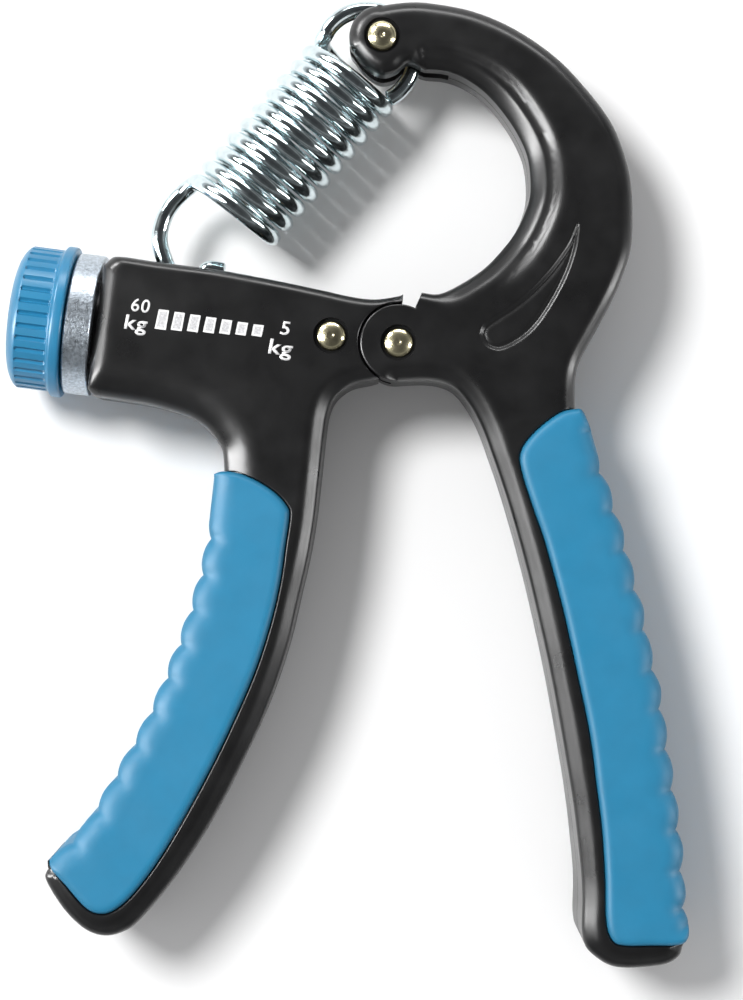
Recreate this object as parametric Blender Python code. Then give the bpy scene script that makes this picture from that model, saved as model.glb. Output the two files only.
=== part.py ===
"""Adjustable R-shaped hand grip strengthener, lying flat.

Frame: metres, +Z up. The origin is the middle of the footprint, on the plane
the grips rest on. +X runs from the pinned knuckle towards the right grip, +Y
from the grips towards the spring eye. Outlines below are in millimetres from
the pivot rivet's axis; make() scales and moves them. The shells split on the
mid plane z = MID.
"""

import math

import bmesh
import bpy
from mathutils import Matrix, Vector

MM = 0.001
FOOT_MIDDLE = (-8.78, -21.92)  # middle of the footprint, seen from the pivot
GAP = 0.3                      # clearance between separate pieces
MID = 12.5                     # split plane of the half shells
SHELL_HALF = 11.5              # shell half thickness at knuckle and grips
ARM_HALF = 7.6                 # half thickness where the curved arm ends
PAD_HALF = 12.5                # grip pad half thickness
CORE_HALF = 8.0                # shell tongue inside the grip pads

PIVOT = (0.0, 0.0)
EYE = (-2.6, 50.1)             # spring eye rivet
LEFT_RIVET = (-10.8, 1.1)
KNUCKLE_R = 6.15
SOCKET_R = 6.5

AXIS_START = (-62.5, 5.07)     # barrel axis where the knob's end face is
AXIS_TILT = math.radians(-7.6)
U = (math.cos(AXIS_TILT), math.sin(AXIS_TILT))
N = (-U[1], U[0])
KNOB_T0, KNOB_T1, KNOB_R, FLANGE_R = 0.0, 8.7, 11.7, 12.45
COLLAR_T0, COLLAR_T1, COLLAR_R = 9.0, 13.3, 11.6
BARREL_T = 13.9
POCKET_T0, POCKET_T1 = 15.5, 42.9
SCREW_LEAD = 2.0
HOOK = (-34.6, 11.3)           # hook pin of the slider

WIRE_R = 1.37
COIL_R = 7.65                  # mean radius of the spring
COIL_PITCH = 3.13
COIL_DIR = math.radians(48.9)
COIL_LOW = (-27.45, 21.9)     # centre of the lowest turn
COIL_TURNS = 9.93
SPLIT_TURN = 5.0
EYE_LOOP = (-5.1, 47.8)         # centre of the round loop that hangs on the eye bush
EYE_LOOP_R = 7.8

for old in list(bpy.data.objects):
    bpy.data.objects.remove(old, do_unlink=True)

MATERIALS = {}


def material(name, rgb, rough, metal=0.0):
    if name not in MATERIALS:
        m = bpy.data.materials.new(name)
        m.use_nodes = True
        b = m.node_tree.nodes["Principled BSDF"]
        b.inputs["Base Color"].default_value = (*rgb, 1)
        b.inputs["Roughness"].default_value = rough
        b.inputs["Metallic"].default_value = metal
        m.diffuse_color = (*rgb, 1)
        MATERIALS[name] = m
    return MATERIALS[name]


BLACK = ("black_plastic", (0.017, 0.017, 0.018), 0.42)
BLUE = ("blue_pad", (0.035, 0.29, 0.5), 0.55)
BLUE_HARD = ("blue_plastic", (0.04, 0.31, 0.52), 0.35)
BRASS = ("brass", (0.72, 0.66, 0.36), 0.25, 1.0)
ZINC = ("zinc_steel", (0.62, 0.65, 0.68), 0.22, 1.0)
BRUSHED = ("brushed_ring", (0.6, 0.6, 0.6), 0.35, 1.0)
STEEL = ("dark_steel", (0.32, 0.32, 0.33), 0.35, 1.0)
BRONZE = ("bronze_bush", (0.5, 0.33, 0.16), 0.4, 1.0)


def make(name, bm, mat, smooth=True):
    bmesh.ops.remove_doubles(bm, verts=bm.verts, dist=1e-7)
    bmesh.ops.recalc_face_normals(bm, faces=bm.faces)
    bmesh.ops.translate(bm, verts=bm.verts, vec=(-FOOT_MIDDLE[0] * MM, -FOOT_MIDDLE[1] * MM, 0))
    me = bpy.data.meshes.new(name)
    bm.to_mesh(me)
    bm.free()
    if smooth:
        me.shade_smooth()
        me.set_sharp_from_angle(angle=math.radians(35))
    me.materials.append(material(*mat))
    ob = bpy.data.objects.new(name, me)
    bpy.context.scene.collection.objects.link(ob)
    return ob


def cutter(ob):
    ob.hide_render = True
    ob.display_type = "WIRE"
    return ob


def cut(ob, *tools):
    """Take all of the tools out of an object in one Boolean."""
    coll = bpy.data.collections.get("tools_" + ob.name)
    if coll is None:
        coll = bpy.data.collections.new("tools_" + ob.name)
        bpy.context.scene.collection.children.link(coll)
        m = ob.modifiers.new("cut", "BOOLEAN")
        m.operation = "DIFFERENCE"
        m.solver = "EXACT"
        m.operand_type = "COLLECTION"
        m.collection = coll
    for t in tools:
        bpy.context.scene.collection.objects.unlink(t)
        coll.objects.link(t)
    return ob


# ---- outline helpers -------------------------------------------------------

def spline(pts, n=3):
    """Open Catmull-Rom curve through pts with n steps per span."""
    out = []
    for i in range(len(pts) - 1):
        p0 = pts[max(i - 1, 0)]
        p1, p2 = pts[i], pts[i + 1]
        p3 = pts[min(i + 2, len(pts) - 1)]
        for k in range(n):
            t = k / n
            out.append(tuple(
                0.5 * ((2 * p1[a]) + (p2[a] - p0[a]) * t
                       + (2 * p0[a] - 5 * p1[a] + 4 * p2[a] - p3[a]) * t * t
                       + (3 * p1[a] - p0[a] - 3 * p2[a] + p3[a]) * t ** 3)
                for a in (0, 1)))
    out.append(tuple(pts[-1]))
    return out


def arc(c, r, a0, a1, n):
    return [(c[0] + r * math.cos(math.radians(a0 + (a1 - a0) * i / n)),
             c[1] + r * math.sin(math.radians(a0 + (a1 - a0) * i / n))) for i in range(n + 1)]


def clean(pts, least=0.25):
    out = []
    for p in pts:
        if not out or math.dist(p, out[-1]) > least:
            out.append(p)
    if math.dist(out[0], out[-1]) <= least:
        out.pop()
    area = sum(a[0] * b[1] - b[0] * a[1] for a, b in zip(out, out[1:] + out[:1]))
    return out if area > 0 else out[::-1]


def offset(pts, d):
    """Move a counter-clockwise outline outwards by d (inwards when negative)."""
    out = []
    n = len(pts)
    for i in range(n):
        a, b, c = Vector(pts[i - 1]), Vector(pts[i]), Vector(pts[(i + 1) % n])
        e1, e2 = (b - a).normalized(), (c - b).normalized()
        n1, n2 = Vector((e1.y, -e1.x)), Vector((e2.y, -e2.x))
        m = (n1 + n2)
        m = m.normalized() if m.length > 1e-6 else n1
        k = max(m.dot(n1), 0.6)
        q = b + m * (d / k)
        out.append((q.x, q.y))
    return out


def prism(name, pts, layers, mat):
    """Stack of (z, inset) layers of one outline, closed at both ends."""
    bm = bmesh.new()
    rings = []
    for z, inset in layers:
        loop = offset(pts, -inset) if inset else pts
        rings.append([bm.verts.new((x * MM, y * MM, z * MM)) for x, y in loop])
    n = len(pts)
    for lo, hi in zip(rings, rings[1:]):
        for i in range(n):
            bm.faces.new((lo[i], lo[(i + 1) % n], hi[(i + 1) % n], hi[i]))
    bm.faces.new(rings[0][::-1])
    bm.faces.new(rings[-1])
    return make(name, bm, mat)


def turned(name, profile, base, axis, mat, n=32):
    """Revolve (t, radius) pairs about a line; radius 0 ends close on the axis.
    A profile whose last point equals its first is a ring."""
    a = Vector(axis).normalized()
    side = a.orthogonal().normalized()
    up = a.cross(side)
    b = Vector(base)
    bm = bmesh.new()
    ring = profile[0] == profile[-1]
    pts = profile[:-1] if ring else profile
    rows = []
    for t, r in pts:
        if r == 0:
            rows.append([bm.verts.new((b + a * t) * MM)])
        else:
            rows.append([bm.verts.new((b + a * t + (side * math.cos(2 * math.pi * i / n)
                                                    + up * math.sin(2 * math.pi * i / n)) * r) * MM)
                         for i in range(n)])
    pairs = list(zip(rows, rows[1:]))
    if ring:
        pairs.append((rows[-1], rows[0]))
    for lo, hi in pairs:
        for i in range(n):
            j = (i + 1) % n
            if len(lo) == 1:
                bm.faces.new((lo[0], hi[j], hi[i]))
            elif len(hi) == 1:
                bm.faces.new((lo[i], lo[j], hi[0]))
            else:
                bm.faces.new((lo[i], lo[j], hi[j], hi[i]))
    return make(name, bm, mat)


def rod(name, p, r, z0, z1, mat, n=24):
    return turned(name, [(z0, 0), (z0, r), (z1, r), (z1, 0)], (p[0], p[1], 0), (0, 0, 1), mat, n)


def along(t, n=0.0, z=MID):
    """Point at distance t along the barrel axis and n across it."""
    return (AXIS_START[0] + U[0] * t + N[0] * n, AXIS_START[1] + U[1] * t + N[1] * n, z)


def block(name, t0, t1, n0, n1, z0, z1, mat):
    """Box lined up with the barrel axis; n is across it, in the flat plane."""
    bm = bmesh.new()
    v = [bm.verts.new(Vector(along(t, n, z)) * MM) for z in (z0, z1)
         for t, n in ((t0, n0), (t1, n0), (t1, n1), (t0, n1))]
    for f in ((3, 2, 1, 0), (4, 5, 6, 7), (0, 1, 5, 4), (1, 2, 6, 5), (2, 3, 7, 6), (3, 0, 4, 7)):
        bm.faces.new([v[i] for i in f])
    return make(name, bm, mat, smooth=False)


def tube(name, path, r, mat, n=10):
    """Round wire along a 3-D path, with its frame carried along and capped ends."""
    bm = bmesh.new()
    pts = [Vector(p) for p in path]
    tan = [(pts[min(i + 1, len(pts) - 1)] - pts[max(i - 1, 0)]).normalized() for i in range(len(pts))]
    side = tan[0].orthogonal().normalized()
    rows = []
    for p, t in zip(pts, tan):
        side = (side - t * side.dot(t)).normalized()
        up = t.cross(side)
        rows.append([bm.verts.new((p + (side * math.cos(2 * math.pi * k / n)
                                        + up * math.sin(2 * math.pi * k / n)) * r) * MM)
                     for k in range(n)])
    for lo, hi in zip(rows, rows[1:]):
        for i in range(n):
            j = (i + 1) % n
            bm.faces.new((lo[i], lo[j], hi[j], hi[i]))
    bm.faces.new(rows[0][::-1])
    bm.faces.new(rows[-1])
    return make(name, bm, mat)


# ---- outlines --------------------------------------------------------------

BARREL_TOP = [(-43.9, 13.8), (-38.6, 13.0), (-33.1, 12.3), (-28.1, 11.6), (-19.1, 9.9),
              (-12.5, 8.5), (-7.5, 7.4), (-3.7, 7.0), (0.0, 7.5), (0.8, 7.9)]
LEFT_INNER = [(-3.1, -5.7), (-4.6, -6.1), (-7.6, -6.8), (-10.1, -8.7), (-11.3, -11.2),
              (-11.9, -15.0), (-12.6, -21.5), (-13.4, -28.5), (-14.5, -35.0), (-16.0, -41.5),
              (-17.5, -48.0), (-19.5, -54.5), (-22.0, -61.0), (-25.0, -67.5), (-28.3, -74.0),
              (-32.1, -80.5), (-36.6, -87.0), (-41.5, -92.8), (-44.2, -94.8), (-47.3, -95.5),
              (-50.4, -94.5), (-53.5, -91.7), (-55.9, -88.2), (-56.9, -86.0), (-56.4, -84.7)]
LEFT_CORE = [(-56.4, -84.7), (-53.4, -83.6), (-47.6, -76.0), (-42.0, -66.3), (-37.2, -56.0),
             (-33.6, -45.5), (-31.2, -36.0), (-29.2, -28.0), (-28.1, -20.6)]
BARREL_LOW = [(-28.1, -20.6), (-28.4, -17.4), (-29.4, -15.6), (-30.8, -13.9), (-33.0, -12.3),
              (-35.7, -11.2), (-40.7, -9.8), (-47.0, -8.8)]
LEFT_PAD_IN = [(-29.6, -21.1), (-28.1, -20.7), (-25.6, -21.0), (-22.4, -22.4), (-19.6, -24.3),
               (-17.8, -26.4), (-17.5, -28.0), (-18.2, -33.0), (-19.0, -38.6), (-20.6, -45.4),
               (-23.2, -53.3), (-27.1, -62.2), (-30.8, -69.7), (-34.9, -77.2), (-38.6, -83.3),
               (-42.3, -88.2), (-45.1, -90.8), (-47.5, -91.7), (-50.1, -90.8), (-53.5, -87.0),
               (-55.6, -84.7), (-56.2, -83.2)]
LEFT_PAD_OUT = [(-56.2, -83.2), (-55.3, -82.2), (-50.6, -77.4), (-47.4, -72.2), (-44.4, -67.0),
                (-41.5, -61.8), (-38.9, -56.4), (-36.7, -50.9), (-34.7, -45.6), (-32.9, -39.9),
                (-31.5, -34.4), (-30.4, -28.4), (-29.6, -21.1)]

ARM_INNER = [(3.8, 8.1), (6.5, 7.9), (9.5, 9.2), (13.4, 11.7), (16.2, 14.4), (18.8, 17.7),
             (20.6, 21.3), (21.5, 24.8), (21.2, 29.8), (19.8, 33.6), (17.3, 37.6),
             (14.3, 41.0), (11.0, 43.3), (7.8, 44.5), (4.3, 44.8)]
ARM_TIP = [(4.3, 44.8), (1.6, 45.9), (-0.4, 44.4), (-2.8, 43.9), (-5.3, 45.4), (-7.3, 47.9)]
ARM_OUTER = [(-2.4, 55.4), (1.6, 55.9), (5.6, 55.7), (12.2, 54.4), (18.9, 51.5), (25.5, 46.9),
             (30.5, 41.6), (34.4, 36.3), (36.5, 31.3), (37.7, 26.2), (37.9, 20.0), (37.5, 15.0),
             (36.0, 10.4), (34.2, 6.3), (31.5, 1.3), (29.2, -3.0), (28.5, -6.1), (28.5, -10.5)]
RIGHT_CORE = [(28.5, -10.5), (30.0, -18.0), (32.2, -25.0), (34.4, -33.0), (36.6, -42.0),
              (38.6, -52.0), (40.4, -62.0), (42.0, -72.0), (43.0, -82.0), (43.4, -91.0), (45.8, -97.2)]
RIGHT_INNER = [(45.8, -97.2), (45.3, -98.7), (43.6, -99.9), (41.3, -100.4), (37.1, -100.7),
               (34.2, -100.3), (31.8, -98.9), (30.2, -97.2), (29.6, -94.5), (29.7, -89.5),
               (29.4, -84.5), (28.3, -74.8), (26.7, -64.9), (24.9, -55.0), (22.8, -45.1),
               (20.4, -35.2), (17.6, -25.3), (15.4, -18.7), (13.6, -13.8), (11.6, -10.0),
               (9.4, -7.4), (7.0, -6.3), (4.0, -5.95), (0.0, -6.15)]
RIGHT_PAD_IN = [(31.0, -14.1), (29.6, -11.0), (28.3, -10.7), (26.2, -11.2), (24.0, -12.6),
                (21.9, -14.4), (20.1, -16.6), (19.5, -18.6), (20.0, -21.4), (21.4, -25.8),
                (23.5, -31.9), (25.1, -37.6), (26.7, -43.8), (29.0, -54.3), (30.8, -63.1),
                (31.8, -70.8), (32.7, -78.1), (33.2, -85.9), (33.4, -93.0), (34.4, -96.0),
                (36.3, -96.8), (40.5, -96.8), (45.0, -96.7), (46.5, -95.6), (46.7, -93.4)]
RIGHT_PAD_OUT = [(46.7, -93.4), (46.3, -88.3), (45.9, -81.5), (45.1, -75.0), (44.2, -68.5),
                 (43.2, -62.0), (42.3, -55.6), (40.8, -49.2), (39.5, -42.7), (37.8, -36.3),
                 (36.2, -30.1), (34.2, -23.7), (32.0, -17.6), (31.0, -14.1)]


def scalloped(pts, first, last, out_side, depth=0.85, steps=6):
    """Finger-side edge of a pad: a rounded bump at each listed point, first to last. out_side is 1 when the outside is on the left of the listed direction, else -1."""
    out = []
    for i in range(len(pts) - 1):
        a, b = Vector(pts[i]), Vector(pts[i + 1])
        d = (b - a).normalized()
        nrm = Vector((-d.y, d.x)) * out_side
        for k in range(steps):
            t = k / steps
            h = depth * (1 - abs(math.cos(math.pi * t)) ** 0.7) if first <= i < last else 0.0
            q = a.lerp(b, t) - nrm * h
            out.append((q.x, q.y))
    return out


barrel_end_low = along(BARREL_T, -10.6)[:2]
barrel_end_high = along(BARREL_T, 9.4)[:2]
left_outline = clean(
    [barrel_end_high] + spline([along(BARREL_T + 1.2, 10.9)[:2]] + BARREL_TOP, 2)
    + arc(PIVOT, SOCKET_R, 84, 241, 14)
    + spline(LEFT_INNER, 2) + spline(LEFT_CORE, 1) + spline(BARREL_LOW, 2)
    + [along(BARREL_T + 0.9, -11.7)[:2], barrel_end_low])
right_outline = clean(
    arc(PIVOT, KNUCKLE_R, 270, 64, 18)
    + spline(ARM_INNER, 2) + spline(ARM_TIP, 2)
    + arc(EYE, 5.35, 200, 100, 8) + spline(ARM_OUTER, 2)
    + spline(RIGHT_CORE, 1) + spline(RIGHT_INNER, 2))
left_pad = clean(spline(LEFT_PAD_IN, 1) + scalloped(LEFT_PAD_OUT, 1, 11, 1))
right_pad = clean(spline(RIGHT_PAD_IN, 1) + scalloped(RIGHT_PAD_OUT, 0, 12, -1))

# ---- cutters ---------------------------------------------------------------


def tool_rod(name, p, r, z0, z1, n=24):
    return cutter(rod(name, p, r, z0, z1, STEEL, n))


def stepped(name, p, side, profile, n=20):
    """Round cutter with steps; profile distances run outwards from the split plane."""
    return cutter(turned(name, profile, (p[0], p[1], MID), (0, 0, side), STEEL, n))


def half_layers(half, edge):
    """Layers of the front half, from the split plane outwards."""
    return [(MID - 2.0, 0), (MID + half - edge, 0), (MID + half - edge * 0.3, edge * 0.3),
            (MID + half, edge)]


def mirrored(layers):
    return [(2 * MID - z, i) for z, i in layers][::-1]


def tongue_outline(grow):
    return clean(arc(PIVOT, 5.2 + grow, -75, 75, 10) + arc(LEFT_RIVET, 3.6 + grow, 90, 270, 10))


def cavity(name, line, half, side):
    """Lightening pocket under a grip, open at the split plane."""
    up = [Vector(p) for p in line]
    left, right = [], []
    for i, p in enumerate(up):
        d = (up[min(i + 1, len(up) - 1)] - up[max(i - 1, 0)]).normalized()
        w = half * (0.8 if i in (0, len(up) - 1) else 1.0)
        left.append((p.x - d.y * w, p.y + d.x * w))
        right.append((p.x + d.y * w, p.y - d.x * w))
    pts = clean(left + right[::-1])
    z = sorted((MID - side * 3.0, MID + side * 5.6))
    return cutter(prism(name, pts, [(z[0], 0), (z[1], 0)], STEEL))


def half_trim(name, side):
    """Everything on the far side of the split plane, with half the shell gap."""
    z0, z1 = sorted((MID + side * 0.15, MID - side * 20.0))
    return cutter(prism(name, [(-80, -120), (60, -120), (60, 70), (-80, 70)], [(z0, 0), (z1, 0)], BLACK))


LEFT_CAVITY = [(-24.0, -29.5), (-26.0, -42.0), (-29.5, -54.0), (-34.5, -65.0), (-41.0, -76.0), (-47.5, -84.0)]
RIGHT_CAVITY = [(27.0, -21.5), (30.5, -36.0), (33.8, -50.0), (36.2, -64.0), (37.6, -78.0), (38.3, -90.0)]
LEFT_SCREWS = [(-37.5, -7.6), (-17.5, -9.0), (-15.8, -25.5), (-36.7, -83.4)]
RIGHT_SCREWS = [(26.0, 36.5), (31.0, 8.5), (17.2, -15.2), (31.0, -81.0)]

slot_z = 3.1
HEAD_SEAT = SHELL_HALF - 0.9
for side, tag in ((1, "front"), (-1, "rear")):
    out = MID + side * (SHELL_HALF + 2)

    def span(lo, hi, s=side):
        a, b = MID + s * lo, MID + s * hi
        return (a, b) if a < b else (b, a)

    # left shell
    layers = half_layers(SHELL_HALF, 0.25)
    if side < 0:
        layers = mirrored(layers)
    shell = prism(f"left_shell_{tag}", left_outline, layers, BLACK)
    spig = turned(f"add_spigot_{tag}", [(0, 0), (0, 7.7), (6.0, 7.7), (6.0, 0)],
                  along(COLLAR_T0 + 0.2), (U[0], U[1], 0), BLACK, 30)
    cutter(spig)
    m = shell.modifiers.new("spigot", "BOOLEAN")
    m.operation, m.solver, m.object = "UNION", "EXACT", spig
    cut(shell,
        cutter(block(f"cut_pocket_{tag}", POCKET_T0, POCKET_T1, -6.5, 7.4, *span(-3, 7.6), BLACK)),
        cutter(block(f"cut_slot_{tag}", 18.7, 42.2, 4.0, 16.0, *span(-3, slot_z), BLACK)),
        cutter(turned(f"cut_shaft_{tag}", [(0, 0), (0, 3.1), (9.5, 3.1), (9.5, 0)],
                      along(8.0), (U[0], U[1], 0), BLACK, 20)),
        cutter(prism(f"cut_tongue_left_{tag}", tongue_outline(GAP),
                     [(z, 0) for z in span(-3, 2.0 + GAP)], BLACK)),
        stepped(f"cut_rivet_l_{tag}", LEFT_RIVET, side,
                [(-3, 0), (-3, 1.8), (HEAD_SEAT, 1.8), (HEAD_SEAT, 2.85), (15, 2.85), (15, 0)]),
        cutter(prism(f"cut_pad_l_{tag}", offset(left_pad, GAP),
                     [(z, 0) for z in span(CORE_HALF, SHELL_HALF + 3)], BLACK)),
        cavity(f"cut_cavity_l_{tag}", LEFT_CAVITY, 3.4, side),
        half_trim(f"cut_trim_l_{tag}", side))
    for i, p in enumerate(LEFT_SCREWS):
        if side > 0:
            cut(shell, tool_rod(f"cut_ls{i}_f", p, 1.2, *span(-3, 6.4), 12))
        else:
            cut(shell, stepped(f"cut_ls{i}_r", p, side,
                               [(-3, 0), (-3, 1.2), (SHELL_HALF - 2.2, 1.2), (SHELL_HALF - 2.2, 1.8),
                                (15, 1.8), (15, 0)], 12))

    # right shell
    layers = half_layers(SHELL_HALF, 0.25)
    if side < 0:
        layers = mirrored(layers)
    shell = prism(f"right_shell_{tag}", right_outline, layers, BLACK)
    # the arm thins steadily from the knuckle to its tip
    y0, y1 = 9.0, 46.0
    rise = (SHELL_HALF - ARM_HALF) / (y1 - y0)
    bm = bmesh.new()
    prof = [(y0, SHELL_HALF), (62.0, SHELL_HALF - rise * (62.0 - y0)), (62.0, SHELL_HALF + 3),
            (y0, SHELL_HALF + 3)]
    rows = [[bm.verts.new((x * MM, y * MM, (MID + side * z) * MM)) for y, z in prof] for x in (-20, 50)]
    for i in range(4):
        bm.faces.new((rows[0][i], rows[0][(i + 1) % 4], rows[1][(i + 1) % 4], rows[1][i]))
    bm.faces.new(rows[0][::-1])
    bm.faces.new(rows[1])
    thin = cutter(make(f"cut_thin_{tag}", bm, BLACK, smooth=False))
    cut(shell, thin,
        cutter(rod(f"cut_clevis_{tag}", EYE, 12.4, *span(-3, 2.1), BLACK, 48)),
        stepped(f"cut_rivet_e_{tag}", EYE, side,
                [(-3, 0), (-3, 1.8), (6.2, 1.8), (6.2, 2.95), (15, 2.95), (15, 0)]),
        cutter(prism(f"cut_tongue_right_{tag}", clean(
            arc(PIVOT, 5.2 + 2 * GAP, -80, 100, 12) + [(-8, 5.6), (-8, -7.2)]),
            [(z, 0) for z in span(-3, 2.0 + GAP)], BLACK)),
        stepped(f"cut_pivot_{tag}", PIVOT, side,
                [(-3, 0), (-3, 2.9), (9.6, 2.9), (9.6, 1.8), (HEAD_SEAT, 1.8), (HEAD_SEAT, 2.85),
                 (15, 2.85), (15, 0)]),
        cutter(prism(f"cut_pad_r_{tag}", offset(right_pad, GAP),
                     [(z, 0) for z in span(CORE_HALF, SHELL_HALF + 3)], BLACK)),
        cavity(f"cut_cavity_r_{tag}", RIGHT_CAVITY, 3.4, side),
        half_trim(f"cut_trim_r_{tag}", side))
    for i, p in enumerate(RIGHT_SCREWS):
        if side > 0:
            cut(shell, tool_rod(f"cut_rs{i}_f", p, 1.2, *span(-3, 6.4), 12))
        else:
            top = SHELL_HALF - max(0.0, (p[1] - y0) * rise)
            cut(shell, stepped(f"cut_rs{i}_r", p, side,
                               [(-3, 0), (-3, 1.2), (top - 2.2, 1.2), (top - 2.2, 1.8),
                                (15, 1.8), (15, 0)], 12))

# ---- grip pads -------------------------------------------------------------

pad_layers = [(MID - PAD_HALF, 1.8), (MID - PAD_HALF + 0.6, 0.6), (MID - PAD_HALF + 2.0, 0.0),
              (MID + PAD_HALF - 2.0, 0.0), (MID + PAD_HALF - 0.6, 0.6), (MID + PAD_HALF, 1.8)]
core_z = [(MID - CORE_HALF - GAP, 0), (MID + CORE_HALF + GAP, 0)]
cut(prism("left_grip_pad", left_pad, pad_layers, BLUE),
    cutter(prism("cut_left_core", offset(left_outline, GAP), core_z, BLUE)))
cut(prism("right_grip_pad", right_pad, pad_layers, BLUE),
    cutter(prism("cut_right_core", offset(right_outline, GAP), core_z, BLUE)))

# ---- hinge and rivets ------------------------------------------------------


def rivet(name, p, half, shank, head, dome, mat):
    """Shank with a domed head at each end, symmetric about the split plane."""
    up = [(half, shank), (half, head), (half + dome * 0.45, head * 0.86),
          (half + dome * 0.8, head * 0.55), (half + dome, 0)]
    pts = [(MID - t, r) for t, r in reversed(up)] + [(MID + t, r) for t, r in up]
    return turned(name, pts, (p[0], p[1], 0), (0, 0, 1), mat, 20)


rivet("left_rivet", LEFT_RIVET, SHELL_HALF - 0.6, 1.5, 2.45, 0.95, BRASS)
rivet("pivot_rivet", PIVOT, SHELL_HALF - 0.6, 1.5, 2.4, 0.95, BRASS)
rivet("eye_rivet", EYE, 6.5, 1.5, 2.55, 1.3, BRASS)
cut(prism("hinge_tongue", tongue_outline(0), [(MID - 2, 0), (MID + 2, 0)], STEEL),
    tool_rod("cut_tongue_a", LEFT_RIVET, 1.8, 0, 25), tool_rod("cut_tongue_b", PIVOT, 2.9, 0, 25))
turned("pivot_bush", [(-9.3, 1.8), (9.3, 1.8), (9.3, 2.6), (-9.3, 2.6), (-9.3, 1.8)],
       (0, 0, MID), (0, 0, 1), BRONZE, 20)
turned("eye_bush", [(-1.8, 1.8), (1.8, 1.8), (1.8, 2.7), (-1.8, 2.7), (-1.8, 1.8)],
       (EYE[0], EYE[1], MID), (0, 0, 1), STEEL, 20)


def self_tapper(name, p, head_z):
    """Pan-head screw driven upwards from the rear, with a round driver recess."""
    pts = [(head_z + 0.7, 0), (head_z + 0.7, 0.6), (head_z, 0.6), (head_z, 1.1), (head_z + 0.4, 1.5),
           (head_z + 1.3, 1.5), (head_z + 1.3, 0.9), (MID + 5.2, 0.9), (MID + 6.0, 0)]
    return turned(name, pts, (p[0], p[1], 0), (0, 0, 1), STEEL, 10)


for i, p in enumerate(LEFT_SCREWS):
    self_tapper(f"left_case_screw_{i + 1}", p, MID - SHELL_HALF + 0.5)
for i, p in enumerate(RIGHT_SCREWS):
    top = SHELL_HALF - max(0.0, (p[1] - y0) * rise)
    self_tapper(f"right_case_screw_{i + 1}", p, MID - top + 0.5)

# ---- knob, screw and slider ------------------------------------------------

axis = (U[0], U[1], 0)
turned("barrel_collar", [(COLLAR_T0, 8.0), (COLLAR_T1, 8.0), (COLLAR_T1, COLLAR_R - 0.4),
                         (COLLAR_T1 - 0.4, COLLAR_R), (COLLAR_T0 + 0.4, COLLAR_R),
                         (COLLAR_T0, COLLAR_R - 0.4), (COLLAR_T0, 8.0)], along(0), axis, BRUSHED, 40)

# ribbed cap: a flange by the collar and grip ribs round the body
bm = bmesh.new()
RIBS = 30
side_v, up_v = Vector((-U[1], U[0], 0)), Vector((0, 0, 1))
profile = [(-0.8, 7.0, 0), (-0.5, 9.6, 0), (0.6, 11.2, 0), (1.3, KNOB_R, 0), (1.6, KNOB_R, 1),
           (6.2, KNOB_R, 1), (6.5, KNOB_R, 0), (6.9, FLANGE_R, 0), (KNOB_T1, FLANGE_R, 0),
           (KNOB_T1, 2.85, 0), (3.0, 2.85, 0)]
rows = []
for t, r, ribbed in profile:
    row = []
    for i in range(RIBS * 2):
        a = math.pi * i / RIBS
        rr = r - (0.55 if ribbed and i % 2 else 0.0)
        row.append(bm.verts.new((Vector(along(t)) + (side_v * math.cos(a) + up_v * math.sin(a)) * rr) * MM))
    rows.append(row)
for lo, hi in zip(rows, rows[1:]):
    for i in range(RIBS * 2):
        j = (i + 1) % (RIBS * 2)
        bm.faces.new((lo[i], lo[j], hi[j], hi[i]))
bm.faces.new(rows[0][::-1])
bm.faces.new(rows[-1])
make("knob", bm, BLUE_HARD)

# lead screw: plain journal, thread, plain tail
bm = bmesh.new()
SEG = 14
rows = []
stations = [(3.3, 2.5), (17.9, 2.5), (18.3, 2.4)]
t = 18.5
while t < 40.01:
    stations.append((t, None))
    t += 0.5
stations += [(40.4, 2.0), (42.2, 2.0)]
for t, r in stations:
    row = []
    for i in range(SEG):
        a = 2 * math.pi * i / SEG
        if r is None:
            ph = (t / SCREW_LEAD - a / (2 * math.pi)) % 1.0
            rr = 2.35 + 0.6 * (1 - abs(2 * ph - 1))
        else:
            rr = r
        row.append(bm.verts.new((Vector(along(t)) + (side_v * math.cos(a) + up_v * math.sin(a)) * rr) * MM))
    rows.append(row)
for lo, hi in zip(rows, rows[1:]):
    for i in range(SEG):
        j = (i + 1) % SEG
        bm.faces.new((lo[i], lo[j], hi[j], hi[i]))
bm.faces.new(rows[0][::-1])
bm.faces.new(rows[-1])
make("lead_screw", bm, ZINC)

turned("thrust_washer", [(15.8, 2.85), (16.6, 2.85), (16.6, 5.4), (15.8, 5.4), (15.8, 2.85)],
       along(0), axis, STEEL, 24)
turned("screw_clip", [(16.9, 2.8), (17.7, 2.8), (17.7, 4.2), (16.9, 4.2), (16.9, 2.8)],
       along(0), axis, STEEL, 24)
turned("screw_end_bush", [(39.9 + 0.7, 2.3), (42.6, 2.3), (42.6, 4.6), (40.6, 4.6), (40.6, 2.3)],
       along(0), axis, BRONZE, 24)

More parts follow.
